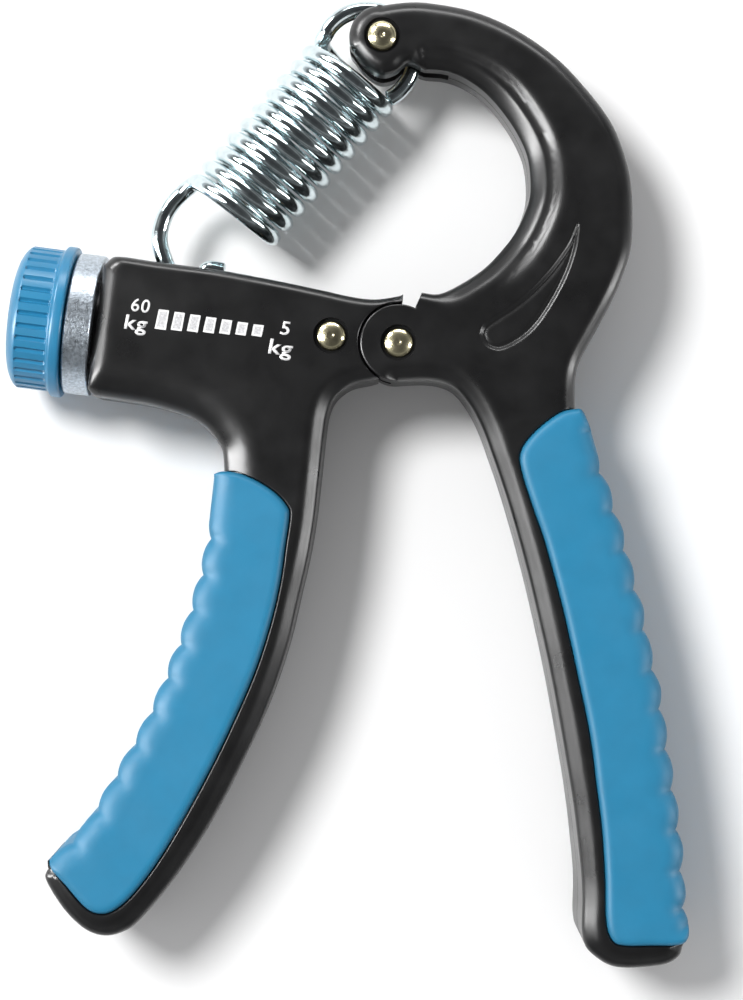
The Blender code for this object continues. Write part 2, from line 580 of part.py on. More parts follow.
# slider: nut body with a forked lug that carries the hook pin
hook_t = (HOOK[0] - AXIS_START[0]) * U[0] + (HOOK[1] - AXIS_START[1]) * U[1]
hook_n = (HOOK[0] - AXIS_START[0]) * N[0] + (HOOK[1] - AXIS_START[1]) * N[1]
nut = block("slider_nut", hook_t - 4.4, hook_t + 4.4, -5.6, 5.6, MID - 6.6, MID + 6.6, BLUE_HARD)
nut.data.materials.clear()
nut.data.materials.append(material("slider_plastic", (0.02, 0.02, 0.02), 0.5))
for s, tag in ((1, "a"), (-1, "b")):
    z = sorted((MID + s * 1.75, MID + s * 2.8))
    ear = cutter(block(f"add_ear_{tag}", hook_t - 1.9, hook_t + 1.9, 4.0, hook_n + 1.0, z[0], z[1], STEEL))
    m = nut.modifiers.new("ear_" + tag, "BOOLEAN")
    m.operation, m.solver, m.object = "UNION", "EXACT", ear
cut(nut, cutter(turned("cut_nut_bore", [(0, 0), (0, 3.3), (14, 3.3), (14, 0)], along(hook_t - 7), axis, STEEL, 24)),
    tool_rod("cut_nut_pin", HOOK, 1.2, 0, 25, 16),
    cutter(block("cut_nut_well", hook_t - 3.9, hook_t + 3.9, hook_n - 4.6, 12.0, MID - 1.75, MID + 1.75, STEEL)))
rod("hook_pin", HOOK, 0.9, MID - 2.7, MID + 2.7, ZINC, 16)

# ---- spring ----------------------------------------------------------------

D = Vector((math.cos(COIL_DIR), math.sin(COIL_DIR), 0))
S = Vector((-D.y, D.x, 0))
Z = Vector((0, 0, 1))
LOW = Vector((COIL_LOW[0], COIL_LOW[1], MID))


def coil(turn):
    """Wire centre after so many turns; turn 0 starts at the barrel side of the coil."""
    a = 2 * math.pi * turn
    return LOW + D * (COIL_PITCH * turn) + (S * math.cos(a) + Z * math.sin(a)) * COIL_R


def smooth3(pts, n):
    out = []
    for i in range(len(pts) - 1):
        p0, p1, p2, p3 = (Vector(pts[max(i - 1, 0)]), Vector(pts[i]), Vector(pts[i + 1]),
                          Vector(pts[min(i + 2, len(pts) - 1)]))
        for k in range(n):
            t = k / n
            out.append(0.5 * ((2 * p1) + (p2 - p0) * t + (2 * p0 - 5 * p1 + 4 * p2 - p3) * t * t
                              + (3 * p1 - p0 - 3 * p2 + p3) * t ** 3))
    out.append(Vector(pts[-1]))
    return out


STEPS = 12
cut_gap = 0.35 / (2 * math.pi * COIL_R)
# upper eye: a full round loop in the split plane, turned out of the last coil
top_c = Vector((EYE_LOOP[0], EYE_LOOP[1], MID))
span_u = COIL_TURNS - SPLIT_TURN - cut_gap / 2
n_u = int(span_u * STEPS)
upper = [coil(SPLIT_TURN + cut_gap / 2 + span_u * i / n_u) for i in range(n_u + 1)]
upper.insert(1, coil(SPLIT_TURN + cut_gap / 2 + 0.006))
loop = [top_c + (S * math.cos(a) + D * math.sin(a)) * EYE_LOOP_R
        for a in [math.radians(d) for d in range(-8, 201, 16)]]
bend = [upper[-1], LOW + D * (COIL_PITCH * 10 + 0.1) + S * (COIL_R - 0.1) - Z * 1.3,
        LOW + D * (COIL_PITCH * 10 + 1.3) + S * (COIL_R + 0.1) - Z * 0.2, loop[0]]
tube("spring_upper", upper[:-1] + smooth3(bend, 3)[:-1] + loop, WIRE_R, ZINC, 8)
START_TURN = 0.07
span_l = SPLIT_TURN - cut_gap / 2 - START_TURN
lower = [coil(START_TURN + span_l * i / int(SPLIT_TURN * STEPS)) for i in range(int(SPLIT_TURN * STEPS) + 1)]
lower = [lower[0], coil(START_TURN + 0.006)] + lower[1:-1] + [coil(START_TURN + span_l - 0.006), lower[-1]]
tube("spring_lower", lower, WIRE_R, ZINC, 8)
back = (coil(START_TURN) - coil(START_TURN + 0.01)).normalized()
hook = smooth3([coil(START_TURN) + back * 0.35, coil(START_TURN) + back * 1.0, (-33.7, 26.6, MID + 1.25),
                (-35.3, 25.5, MID + 0.2), (-37.3, 23.4, MID), (-38.7, 20.8, MID), (-39.3, 17.6, MID),
                (-38.5, 14.4, MID), (-37.25, 11.6, MID),
                (-36.2, 9.4, MID), (-34.6, 8.65, MID), (-32.9, 9.3, MID), (-32.0, 11.3, MID),
                (-31.2, 12.8, MID), (-28.8, 12.5, MID)], 3)
tube("spring_hook", hook, WIRE_R, ZINC, 8)
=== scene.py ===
"""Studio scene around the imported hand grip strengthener.

All outlines below are in millimetres from the pivot rivet's axis; place() scales
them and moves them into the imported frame, whose origin is the middle of the
footprint. Case halves and pads are height fields: an outline is triangulated
with rings of points that follow its edges, and each point gets its height from
rules for edge rounding, bands, recesses and pockets.
"""

import math

import bmesh
import bpy
import numpy as np
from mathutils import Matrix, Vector
from mathutils.geometry import delaunay_2d_cdt
from mathutils.kdtree import KDTree

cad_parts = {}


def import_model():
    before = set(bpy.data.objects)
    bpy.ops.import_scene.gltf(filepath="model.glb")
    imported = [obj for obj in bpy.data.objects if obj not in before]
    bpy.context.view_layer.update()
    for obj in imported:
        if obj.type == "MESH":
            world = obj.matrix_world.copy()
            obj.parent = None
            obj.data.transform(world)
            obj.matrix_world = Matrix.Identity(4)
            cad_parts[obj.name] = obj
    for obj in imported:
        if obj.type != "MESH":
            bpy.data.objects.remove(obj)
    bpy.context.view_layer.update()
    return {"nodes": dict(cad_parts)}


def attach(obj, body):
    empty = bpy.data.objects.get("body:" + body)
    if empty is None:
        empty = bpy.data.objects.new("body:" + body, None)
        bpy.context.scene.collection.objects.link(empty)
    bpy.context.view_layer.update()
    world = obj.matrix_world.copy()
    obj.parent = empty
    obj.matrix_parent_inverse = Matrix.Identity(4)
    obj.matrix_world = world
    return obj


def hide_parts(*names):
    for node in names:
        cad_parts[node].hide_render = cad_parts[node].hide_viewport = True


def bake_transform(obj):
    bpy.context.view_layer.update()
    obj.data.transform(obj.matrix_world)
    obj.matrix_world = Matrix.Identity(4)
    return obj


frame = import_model()

MM = 0.001
FOOT_MIDDLE = (-8.78, -21.92)
MID = 12.5
SHELL_HALF = 11.5
ARM_HALF = 7.6
PAD_HALF = 12.5
PIVOT = (0.0, 0.0)
EYE = (-2.6, 50.1)
LEFT_RIVET = (-10.8, 1.1)
KNUCKLE_R, SOCKET_R = 6.15, 6.5
AXIS_START = (-62.5, 5.07)
AXIS_TILT = math.radians(-7.6)
U = (math.cos(AXIS_TILT), math.sin(AXIS_TILT))
N = (-U[1], U[0])
BARREL_T = 13.9
HOOK = (-34.6, 11.3)
RISE = (SHELL_HALF - ARM_HALF) / 37.0



def place(v):
    """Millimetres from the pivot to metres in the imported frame."""
    return ((v[0] - FOOT_MIDDLE[0]) * MM, (v[1] - FOOT_MIDDLE[1]) * MM, v[2] * MM)


# ---- curves ----------------------------------------------------------------


def spline(pts, n=5):
    out = []
    for i in range(len(pts) - 1):
        p0, p1, p2, p3 = pts[max(i - 1, 0)], pts[i], pts[i + 1], pts[min(i + 2, len(pts) - 1)]
        for k in range(n):
            t = k / n
            out.append(tuple(0.5 * ((2 * p1[a]) + (p2[a] - p0[a]) * t
                                    + (2 * p0[a] - 5 * p1[a] + 4 * p2[a] - p3[a]) * t * t
                                    + (3 * p1[a] - p0[a] - 3 * p2[a] + p3[a]) * t ** 3) for a in (0, 1)))
    out.append(tuple(pts[-1]))
    return out


def arc(c, r, a0, a1, n):
    return [(c[0] + r * math.cos(math.radians(a0 + (a1 - a0) * i / n)),
             c[1] + r * math.sin(math.radians(a0 + (a1 - a0) * i / n))) for i in range(n + 1)]


def circle(c, r, n=40):
    return arc(c, r, 0, 360 - 360 / n, n - 1)


def along(t, n=0.0):
    return (AXIS_START[0] + U[0] * t + N[0] * n, AXIS_START[1] + U[1] * t + N[1] * n)


def area(pts):
    return 0.5 * sum(a[0] * b[1] - b[0] * a[1] for a, b in zip(pts, pts[1:] + pts[:1]))


def clean(pts, least=0.12):
    out = []
    for p in pts:
        if not out or math.dist(p, out[-1]) > least:
            out.append(p)
    if math.dist(out[0], out[-1]) <= least:
        out.pop()
    return out if area(out) > 0 else out[::-1]


def densify(pts, step, closed=True):
    out = []
    pairs = list(zip(pts, pts[1:] + pts[:1])) if closed else list(zip(pts, pts[1:]))
    for a, b in pairs:
        k = max(1, math.ceil(math.dist(a, b) / step - 0.05))
        out += [(a[0] + (b[0] - a[0]) * i / k, a[1] + (b[1] - a[1]) * i / k) for i in range(k)]
    return out if closed else out + [pts[-1]]


def offset(pts, d, closed=True):
    """Move a counter-clockwise outline outwards by d; an open line moves to its right."""
    out = []
    n = len(pts)
    for i in range(n):
        a = Vector(pts[i - 1] if closed else pts[max(i - 1, 0)])
        b = Vector(pts[i])
        c = Vector(pts[(i + 1) % n] if closed else pts[min(i + 1, n - 1)])
        e1, e2 = (b - a).normalized(), (c - b).normalized()
        m = Vector((e1.y, -e1.x)) + Vector((e2.y, -e2.x))
        m = m.normalized() if m.length > 1e-6 else Vector((e2.y, -e2.x))
        k = max(m.dot(Vector((e2.y, -e2.x)) if e2.length else m), 0.7)
        out.append((b.x + m.x * d / k, b.y + m.y * d / k))
    return out


def table(pairs):
    """Smooth rule through (distance, drop) pairs, never overshooting between them."""
    x = np.array([p[0] for p in pairs], float)
    y = np.array([p[1] for p in pairs], float)
    h, s = np.diff(x), np.diff(y) / np.diff(x)
    m = np.zeros(len(x))
    for i in range(1, len(x) - 1):
        if s[i - 1] * s[i] > 0:
            m[i] = 2 * s[i - 1] * s[i] / (s[i - 1] + s[i])
    m[0], m[-1] = s[0], 0.0

    def rule(d):
        d = np.clip(d, x[0], x[-1])
        i = np.clip(np.searchsorted(x, d, side="right") - 1, 0, len(h) - 1)
        t = (d - x[i]) / h[i]
        return ((2 * t ** 3 - 3 * t ** 2 + 1) * y[i] + (t ** 3 - 2 * t ** 2 + t) * h[i] * m[i]
                + (-2 * t ** 3 + 3 * t ** 2) * y[i + 1] + (t ** 3 - t ** 2) * h[i] * m[i + 1])
    return rule


def profile(pairs):
    """Drop of a rounded edge given as (distance, tilt in degrees) pairs, level at the last."""
    d = np.arange(0.0, pairs[-1][0] + 0.01, 0.02)
    tilt = np.interp(d, [p[0] for p in pairs], [p[1] for p in pairs])
    for _ in range(4):
        tilt[1:-1] = (tilt[:-2] + 2 * tilt[1:-1] + tilt[2:]) / 4
    slope = np.tan(np.radians(tilt))
    drop = np.concatenate([np.cumsum(slope[::-1] * 0.02)[::-1][1:], [0.0]])
    return lambda v: np.interp(v, d, drop)


def ramp(v, a, b):
    t = np.clip((v - a) / (b - a), 0, 1)
    return t * t * (3 - 2 * t)


def dist_to(P, line, closed=False):
    L = np.array(line, float)
    A, B = (L, np.roll(L, -1, 0)) if closed else (L[:-1], L[1:])
    best = np.full(len(P), 1e9)
    for i in range(0, len(A), 80):
        a, ab = A[i:i + 80][None], (B - A)[i:i + 80][None]
        ap = P[:, None] - a
        t = np.clip((ap * ab).sum(2) / np.maximum((ab * ab).sum(2), 1e-12), 0, 1)
        d = ap - t[..., None] * ab
        best = np.minimum(best, np.sqrt((d * d).sum(2)).min(1))
    return best


def inside(P, poly):
    L = np.array(poly, float)
    x, y = P[:, 0], P[:, 1]
    res = np.zeros(len(P), bool)
    for (x0, y0), (x1, y1) in zip(L, np.roll(L, -1, 0)):
        if y0 != y1:
            hit = (y0 > y) != (y1 > y)
            res ^= hit & (x < (x1 - x0) * (y - y0) / (y1 - y0) + x0)
    return res


# ---- meshes ----------------------------------------------------------------

MATS = {}


def obj(name, verts, faces, mat, body=None, replaces=(), slot=None, angle=32, merge=True):
    me = bpy.data.meshes.new(name)
    me.from_pydata([place(v) for v in verts], [], faces)
    if merge:
        bm = bmesh.new()
        bm.from_mesh(me)
        bmesh.ops.remove_doubles(bm, verts=bm.verts, dist=1e-7)
        bm.to_mesh(me)
        bm.free()
    me.validate()
    me.shade_smooth()
    me.set_sharp_from_angle(angle=math.radians(angle))
    me.materials.append(MATS[mat])
    ob = bpy.data.objects.new(name, me)
    bpy.context.scene.collection.objects.link(ob)
    if replaces:
        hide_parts(*replaces)
    if body:
        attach(ob, body)
    return ob


def crossings(loop, line, closed=True):
    """The loop with a point added wherever the line crosses it."""
    segs = list(zip(line, line[1:] + line[:1])) if closed else list(zip(line, line[1:]))
    out = []
    for a, b in zip(loop, loop[1:] + loop[:1]):
        out.append(a)
        cuts = []
        for c, d in segs:
            if min(c[0], d[0]) > max(a[0], b[0]) or max(c[0], d[0]) < min(a[0], b[0]):
                continue
            r = (b[0] - a[0], b[1] - a[1])
            s = (d[0] - c[0], d[1] - c[1])
            den = r[0] * s[1] - r[1] * s[0]
            if abs(den) < 1e-12:
                continue
            t = ((c[0] - a[0]) * s[1] - (c[1] - a[1]) * s[0]) / den
            u = ((c[0] - a[0]) * r[1] - (c[1] - a[1]) * r[0]) / den
            if 1e-4 < t < 1 - 1e-4 and 0 <= u <= 1:
                cuts.append(t)
        out += [(a[0] + (b[0] - a[0]) * t, a[1] + (b[1] - a[1]) * t) for t in sorted(cuts)]
    return out


class Step:
    """A level change along a closed line: a short steep wall just inside it."""

    def __init__(self, poly, level, width=0.05):
        poly = poly if area(poly) > 0 else poly[::-1]
        self.level = level
        self.lines = [poly, offset(poly, -width)]
        self.test = offset(poly, -width / 2)


def triangulate(loops, lines, extra, keep_in, keep_out):
    pts, edges, ids = [], [], []
    for l in loops + lines:
        base = len(pts)
        pts += l
        edges += [(base + i, base + (i + 1) % len(l)) for i in range(len(l))]
        ids.append((base, len(l)))
    pts = pts + [tuple(p) for p in extra]
    out = delaunay_2d_cdt([Vector(p) for p in pts], edges, [], 0, 1e-4, True)
    co = np.array([(v.x, v.y) for v in out[0]])
    back = {}
    for i, olds in enumerate(out[3]):
        for o in olds:
            back[o] = i
    tri = np.array([f for f in out[2] if len(f) == 3])
    a, b, c = co[tri[:, 0]], co[tri[:, 1]], co[tri[:, 2]]
    turn = (b[:, 0] - a[:, 0]) * (c[:, 1] - a[:, 1]) - (b[:, 1] - a[:, 1]) * (c[:, 0] - a[:, 0])
    tri[turn < 0] = tri[turn < 0][:, ::-1]
    mid = co[tri].mean(1)
    ok = inside(mid, keep_in)
    for h in keep_out:
        ok &= ~inside(mid, h)
    # triangles joined without crossing an outline stand or fall together, so that a
    # sliver lying on an outline can't be taken for a part of the face
    walls = set()
    for base, n in ids[:len(loops)]:
        for i in range(n):
            p, q = back[base + i], back[base + (i + 1) % n]
            walls.add((min(p, q), max(p, q)))
    root = list(range(len(tri)))

    def find(i):
        while root[i] != i:
            root[i] = root[root[i]]
            i = root[i]
        return i

    seen = {}
    for i, t in enumerate(tri.tolist()):
        for p, q in ((t[0], t[1]), (t[1], t[2]), (t[2], t[0])):
            key = (min(p, q), max(p, q))
            if key in walls:
                continue
            j = seen.setdefault(key, i)
            if j != i:
                root[find(i)] = find(j)
    group = np.array([find(i) for i in range(len(tri))])
    size = np.bincount(group, np.abs(turn), len(tri))
    yes = np.bincount(group, np.abs(turn) * ok, len(tri))
    ok = (yes[group] > size[group] * 0.5) & (size[group] > 1e-3)
    chains = [[back[base + i] for i in range(n)] for base, n in ids[:len(loops)]]
    return co, tri[ok], chains


RINGS = (0.06, 0.18, 0.36, 0.6, 0.9, 1.25, 1.65, 2.1, 2.65, 3.3)


def field_points(loops, lines, fine, grid, rings=RINGS):
    """Points inside the outline: rings that follow every edge, feature lines, then a grid."""
    taken = [p for l in loops + lines for p in l]
    outer, holes = loops[0], loops[1:]
    got = []

    def add(cands, least):
        if not cands:
            return
        P = np.array(cands)
        ok = inside(P, outer)
        for h in holes:
            ok &= ~inside(P, h)
        tree = KDTree(len(taken))
        for i, p in enumerate(taken):
            tree.insert((p[0], p[1], 0), i)
        tree.balance()
        cell = {}
        for p, good in zip(cands, ok):
            if not good or tree.find((p[0], p[1], 0))[2] < least:
                continue
            key = (int(p[0] / least), int(p[1] / least))
            near = [q for dx in (-1, 0, 1) for dy in (-1, 0, 1) for q in cell.get((key[0] + dx, key[1] + dy), ())]
            if any(math.dist(p, q) < least for q in near):
                continue
            cell.setdefault(key, []).append(p)
            got.append(p)
        taken.extend(p for c in cell.values() for p in c)

    last = 0.0
    for r in rings:
        cands = []
        for l in loops:
            cands += offset(l, -r)
        P = np.array(cands)
        d = np.minimum.reduce([dist_to(P, l, True) for l in loops])
        add([p for p, k in zip(cands, d > r * 0.9) if k], (r - last) * 0.75)
        last = r
    for line, least in fine:
        add(list(line), least)
    lo, hi = np.array(outer).min(0), np.array(outer).max(0)
    rows = []
    y = lo[1]
    odd = 0
    while y < hi[1]:
        x = lo[0] + (grid / 2 if odd else 0)
        while x < hi[0]:
            rows.append((x, y))
            x += grid
        y += grid * 0.866
        odd = 1 - odd
    add(rows, grid * 0.6)
    return got


def face_normals(P, height, lines, h=0.06):
    """Direction each point of a height field faces; zero, for Blender's own, along a line."""
    gx = (height(P + (h, 0)) - height(P - (h, 0))) / (2 * h)
    gy = (height(P + (0, h)) - height(P - (0, h))) / (2 * h)
    N = np.stack([-gx, -gy, np.ones(len(P))], 1)
    N /= np.linalg.norm(N, axis=1)[:, None]
    near = np.minimum.reduce([dist_to(P, l, True) for l in lines]) < 0.12
    N[near] = 0.0
    return N


def slab(name, outer, holes, top, bottom, side, mat, body, replaces, slot, grid=0.75, fine=(),
         steps_top=(), steps_bottom=(), wall=(), both=False):
    """Closed solid between two height fields over one outline. side -1 builds it upside
    down about the split plane; both uses the top rule for the two faces."""
    outer = densify(outer if area(outer) > 0 else outer[::-1], 0.7)
    for st in list(steps_top) + list(steps_bottom):
        for l in st.lines:
            outer = crossings(outer, l)
    holes = [h[::-1] if area(h) > 0 else h for h in holes]
    loops = [outer] + holes
    lt = [l for s in steps_top for l in s.lines]
    lb = [l for s in steps_bottom for l in s.lines]
    ct, tt, cht = triangulate(loops, lt, field_points(loops, lt, fine, grid), outer, holes)

    def height(P):
        z = top(P)
        for s in steps_top:
            z = np.where(inside(P, s.test), np.minimum(z, s.level), z)
        return z

    zt = height(ct)
    lean = face_normals(ct, height, loops + lt)
    if both:
        cb, tb, chb = ct, tt, cht
        zb = -zt
    else:
        cb, tb, chb = triangulate(loops, lb, field_points(loops, lb, (), 3.0, (1.5,)), outer, holes)
        zb = bottom(cb)
        for s in steps_bottom:
            zb = np.where(inside(cb, s.test), np.maximum(zb, s.level), zb)
    n = len(ct)
    verts = [(x, y, MID + side * z) for (x, y), z in zip(ct, zt)]
    verts += [(x, y, MID + side * z) for (x, y), z in zip(cb, zb)]
    faces = [tuple(map(int, f)) for f in tt] + [tuple(int(i) + n for i in f[::-1]) for f in tb]
    flip = np.array([1, 1, side])
    given = [tuple(lean[int(i)] * flip) for f in tt for i in (f if side > 0 else f[::-1])]
    if both:
        given += [tuple(lean[int(i)] * (1, 1, -side)) for f in tb for i in (f[::-1] if side > 0 else f)]
    for a, b in zip(cht, chb):
        rows = [list(b)]
        rows[0] = [i + n for i in b]
        for share in wall:
            row = []
            for i, j in zip(a, b):
                row.append(len(verts))
                z = zb[j] + (zt[i] - zb[j]) * share
                verts.append((ct[i][0], ct[i][1], MID + side * z))
            rows.append(row)
        rows.append(list(a))
        for lo, hi in zip(rows, rows[1:]):
            for i in range(len(lo)):
                j = (i + 1) % len(lo)
                faces.append((lo[i], lo[j], hi[j], hi[i]))
    if side < 0:
        faces = [f[::-1] for f in faces]
    used = sorted({i for f in faces for i in f})
    to = {o: i for i, o in enumerate(used)}
    verts = [verts[i] for i in used]
    faces = [tuple(to[i] for i in f) for f in faces]
    ob = obj(name, verts, faces, mat, body, replaces, slot, angle=58, merge=False)
    given += [(0.0, 0.0, 0.0)] * (len(ob.data.loops) - len(given))
    ob.data.normals_split_custom_set(given)
    return ob


def lathe(name, profile, base, axis, mat, n=64, wave=None, **kw):
    """Revolve (t, r) pairs; a profile that ends where it starts is a ring."""
    a = Vector(axis).normalized()
    side = Vector((-a.y, a.x, 0)).normalized() if abs(a.z) < 0.9 else Vector((1, 0, 0))
    up = a.cross(side)
    ring = profile[0] == profile[-1]
    pts = profile[:-1] if ring else profile
    verts, rows, faces = [], [], []
    for t, r in pts:
        if r == 0:
            rows.append([len(verts)])
            verts.append(tuple(Vector(base) + a * t))
            continue
        row = []
        for i in range(n):
            an = 2 * math.pi * i / n
            rr = r - (wave(t, an) if wave else 0.0)
            row.append(len(verts))
            verts.append(tuple(Vector(base) + a * t + (side * math.cos(an) + up * math.sin(an)) * rr))
        rows.append(row)
    pairs = list(zip(rows, rows[1:])) + ([(rows[-1], rows[0])] if ring else [])
    for lo, hi in pairs:
        for i in range(n):
            j = (i + 1) % n
            if len(lo) == 1:
                faces.append((lo[0], hi[j], hi[i]))
            elif len(hi) == 1:
                faces.append((lo[i], lo[j], hi[0]))
            else:
                faces.append((lo[i], lo[j], hi[j], hi[i]))
    ob = obj(name, verts, faces, mat, **kw)
    bm = bmesh.new()
    bm.from_mesh(ob.data)
    bmesh.ops.recalc_face_normals(bm, faces=bm.faces)
    bm.to_mesh(ob.data)
    bm.free()
    return ob


# ---- materials -------------------------------------------------------------


def material(name, rgb, rough, metal=0.0, vary=0.12, vary_scale=260.0, grain=7000.0, grain_depth=0.02,
             grain_strength=0.25, rough_vary=0.08, smudge=120.0, sheen=0.0, coat=0.0, ior=1.5, stretch=None,
             streak=0.0, spec=0.5):
    """Principled surface with colour drift, uneven roughness and a fine relief."""
    m = bpy.data.materials.new(name)
    m.use_nodes = True
    nt = m.node_tree
    b = nt.nodes["Principled BSDF"]
    co = nt.nodes.new("ShaderNodeTexCoord")
    mp = nt.nodes.new("ShaderNodeMapping")
    nt.links.new(co.outputs["Object"], mp.inputs["Vector"])
    if stretch:
        mp.inputs["Rotation"].default_value = (0, 0, stretch[3])
        mp.inputs["Scale"].default_value = stretch[:3]

    def noise(scale, detail=3.0, rough_=0.55):
        t = nt.nodes.new("ShaderNodeTexNoise")
        t.inputs["Scale"].default_value = scale
        t.inputs["Detail"].default_value = detail
        t.inputs["Roughness"].default_value = rough_
        nt.links.new(mp.outputs[0], t.inputs["Vector"])
        return t

    def ramp_node(src, lo, hi, p0=0.3, p1=0.7):
        r = nt.nodes.new("ShaderNodeMapRange")
        r.inputs["From Min"].default_value = p0
        r.inputs["From Max"].default_value = p1
        r.inputs["To Min"].default_value = lo
        r.inputs["To Max"].default_value = hi
        nt.links.new(src.outputs[0], r.inputs["Value"])
        return r

    shade = ramp_node(noise(vary_scale, 4.0), 1 - vary, 1 + vary)
    mix = nt.nodes.new("ShaderNodeMix")
    mix.data_type = "RGBA"
    mix.blend_type = "MULTIPLY"
    mix.inputs["Factor"].default_value = 1.0
    mix.inputs["A"].default_value = (*rgb, 1)
    comb = nt.nodes.new("ShaderNodeCombineColor")
    for k in range(3):
        nt.links.new(shade.outputs[0], comb.inputs[k])
    nt.links.new(comb.outputs[0], mix.inputs["B"])
    nt.links.new(mix.outputs["Result"], b.inputs["Base Color"])
    r = ramp_node(noise(smudge, 5.0), rough - rough_vary, rough + rough_vary)
    nt.links.new(r.outputs[0], b.inputs["Roughness"])
    bump = nt.nodes.new("ShaderNodeBump")
    bump.inputs["Strength"].default_value = grain_strength
    bump.inputs["Distance"].default_value = grain_depth * MM
    nt.links.new(noise(grain, 2.0, 0.6).outputs[0], bump.inputs["Height"])
    nt.links.new(bump.outputs[0], b.inputs["Normal"])
    b.inputs["Metallic"].default_value = metal
    b.inputs["IOR"].default_value = ior
    b.inputs["Specular IOR Level"].default_value = spec
    if sheen:
        b.inputs["Sheen Weight"].default_value = sheen
    if coat:
        b.inputs["Coat Weight"].default_value = coat
        b.inputs["Coat Roughness"].default_value = 0.2
    MATS[name] = m
    return m


material("case_plastic", (0.0075, 0.0075, 0.0078), 0.31, vary=0.25, grain=5200.0, grain_depth=0.03,
         grain_strength=0.22, rough_vary=0.05)
material("pad_rubber", (0.012, 0.192, 0.352), 0.5, vary=0.04, grain=6500.0, grain_depth=0.03,
         grain_strength=0.2, rough_vary=0.06, spec=0.32)
material("knob_plastic", (0.019, 0.20, 0.375), 0.34, vary=0.05, grain=5200.0, grain_depth=0.02,
         grain_strength=0.12, rough_vary=0.05)
material("collar_metal", (0.43, 0.48, 0.53), 0.33, metal=0.95, vary=0.3, vary_scale=2200.0, grain=3600.0,
         grain_depth=0.09, grain_strength=0.55, rough_vary=0.08, smudge=1500.0)
material("rivet_metal", (0.83, 0.76, 0.50), 0.2, metal=1.0, vary=0.1, vary_scale=1200.0, grain=2200.0,
         grain_depth=0.04, grain_strength=0.35, rough_vary=0.06)
material("spring_wire", (0.66, 0.75, 0.77), 0.12, metal=1.0, vary=0.14, vary_scale=700.0, grain=1500.0,
         grain_depth=0.06, grain_strength=0.35, rough_vary=0.06, smudge=500.0)
material("plated_steel", (0.55, 0.56, 0.58), 0.3, metal=1.0, vary=0.1, vary_scale=800.0, grain=3000.0,
         grain_depth=0.03, grain_strength=0.3)
material("bush_bronze", (0.5, 0.33, 0.16), 0.38, metal=1.0, vary=0.1, vary_scale=800.0, grain=3000.0)
material("slider_plastic", (0.012, 0.012, 0.013), 0.45, vary=0.2, grain=3000.0)
material("print_white", (0.80, 0.80, 0.80), 0.5, vary=0.03, vary_scale=1500.0, grain=5000.0)
material("print_grey", (0.55, 0.55, 0.56), 0.55, vary=0.3, vary_scale=3500.0, grain=5000.0)

# ---- outlines --------------------------------------------------------------

BARREL_TOP = [(-43.9, 13.8), (-38.6, 13.0), (-33.1, 12.3), (-28.1, 11.6), (-19.1, 9.9),
              (-12.5, 8.5), (-7.5, 7.4), (-3.7, 7.0), (0.0, 7.5), (0.8, 7.9)]
LEFT_INNER = [(-3.1, -5.7), (-4.6, -6.1), (-7.6, -6.8), (-10.1, -8.7), (-11.3, -11.2),
              (-11.9, -15.0), (-12.6, -21.5), (-13.4, -28.5), (-14.5, -35.0), (-16.0, -41.5),
              (-17.5, -48.0), (-19.5, -54.5), (-22.0, -61.0), (-25.0, -67.5), (-28.3, -74.0),
              (-32.1, -80.5), (-36.6, -87.0), (-41.5, -92.8), (-44.2, -94.8), (-47.3, -95.5),
              (-50.4, -94.5), (-53.5, -91.7), (-55.9, -88.2), (-56.9, -86.0), (-56.4, -84.7)]
BARREL_LOW = [(-28.1, -20.6), (-28.4, -17.4), (-29.4, -15.6), (-30.8, -13.9), (-33.0, -12.3),
              (-35.7, -11.2), (-40.7, -9.8), (-47.0, -8.8)]
LEFT_PAD_IN = [(-29.6, -21.1), (-28.1, -20.7), (-25.6, -21.0), (-22.4, -22.4), (-19.6, -24.3),
               (-17.8, -26.4), (-17.5, -28.0), (-18.2, -33.0), (-19.0, -38.6), (-20.6, -45.4),
               (-23.2, -53.3), (-27.1, -62.2), (-30.8, -69.7), (-34.9, -77.2), (-38.6, -83.3),
               (-42.3, -88.2), (-45.1, -90.8), (-47.5, -91.7), (-50.1, -90.8), (-53.5, -87.0),
               (-55.6, -84.7), (-56.2, -83.2)]
LEFT_PAD_OUT = [(-56.2, -83.2), (-55.3, -82.2), (-50.6, -77.4), (-47.4, -72.2), (-44.4, -67.0),
                (-41.5, -61.8), (-38.9, -56.4), (-36.7, -50.9), (-34.7, -45.6), (-32.9, -39.9),
                (-31.5, -34.4), (-30.4, -28.4), (-29.6, -21.1)]
ARM_INNER = [(3.8, 8.1), (6.5, 7.9), (9.5, 9.2), (13.4, 11.7), (16.2, 14.4), (18.8, 17.7),
             (20.6, 21.3), (21.5, 24.8), (21.2, 29.8), (19.8, 33.6), (17.3, 37.6),
             (14.3, 41.0), (11.0, 43.3), (7.8, 44.5), (4.3, 44.8)]
ARM_TIP = [(4.3, 44.8), (1.6, 45.9), (-0.4, 44.4), (-2.8, 43.9), (-5.3, 45.4), (-7.3, 47.9)]
ARM_OUTER = [(-2.4, 55.4), (1.6, 55.9), (5.6, 55.7), (12.2, 54.4), (18.9, 51.5), (25.5, 46.9),
             (30.5, 41.6), (34.4, 36.3), (36.5, 31.3), (37.7, 26.2), (37.9, 20.0), (37.5, 15.0),
             (36.0, 10.4), (34.2, 6.3), (31.5, 1.3), (29.2, -3.0), (28.5, -6.1), (28.5, -10.5)]
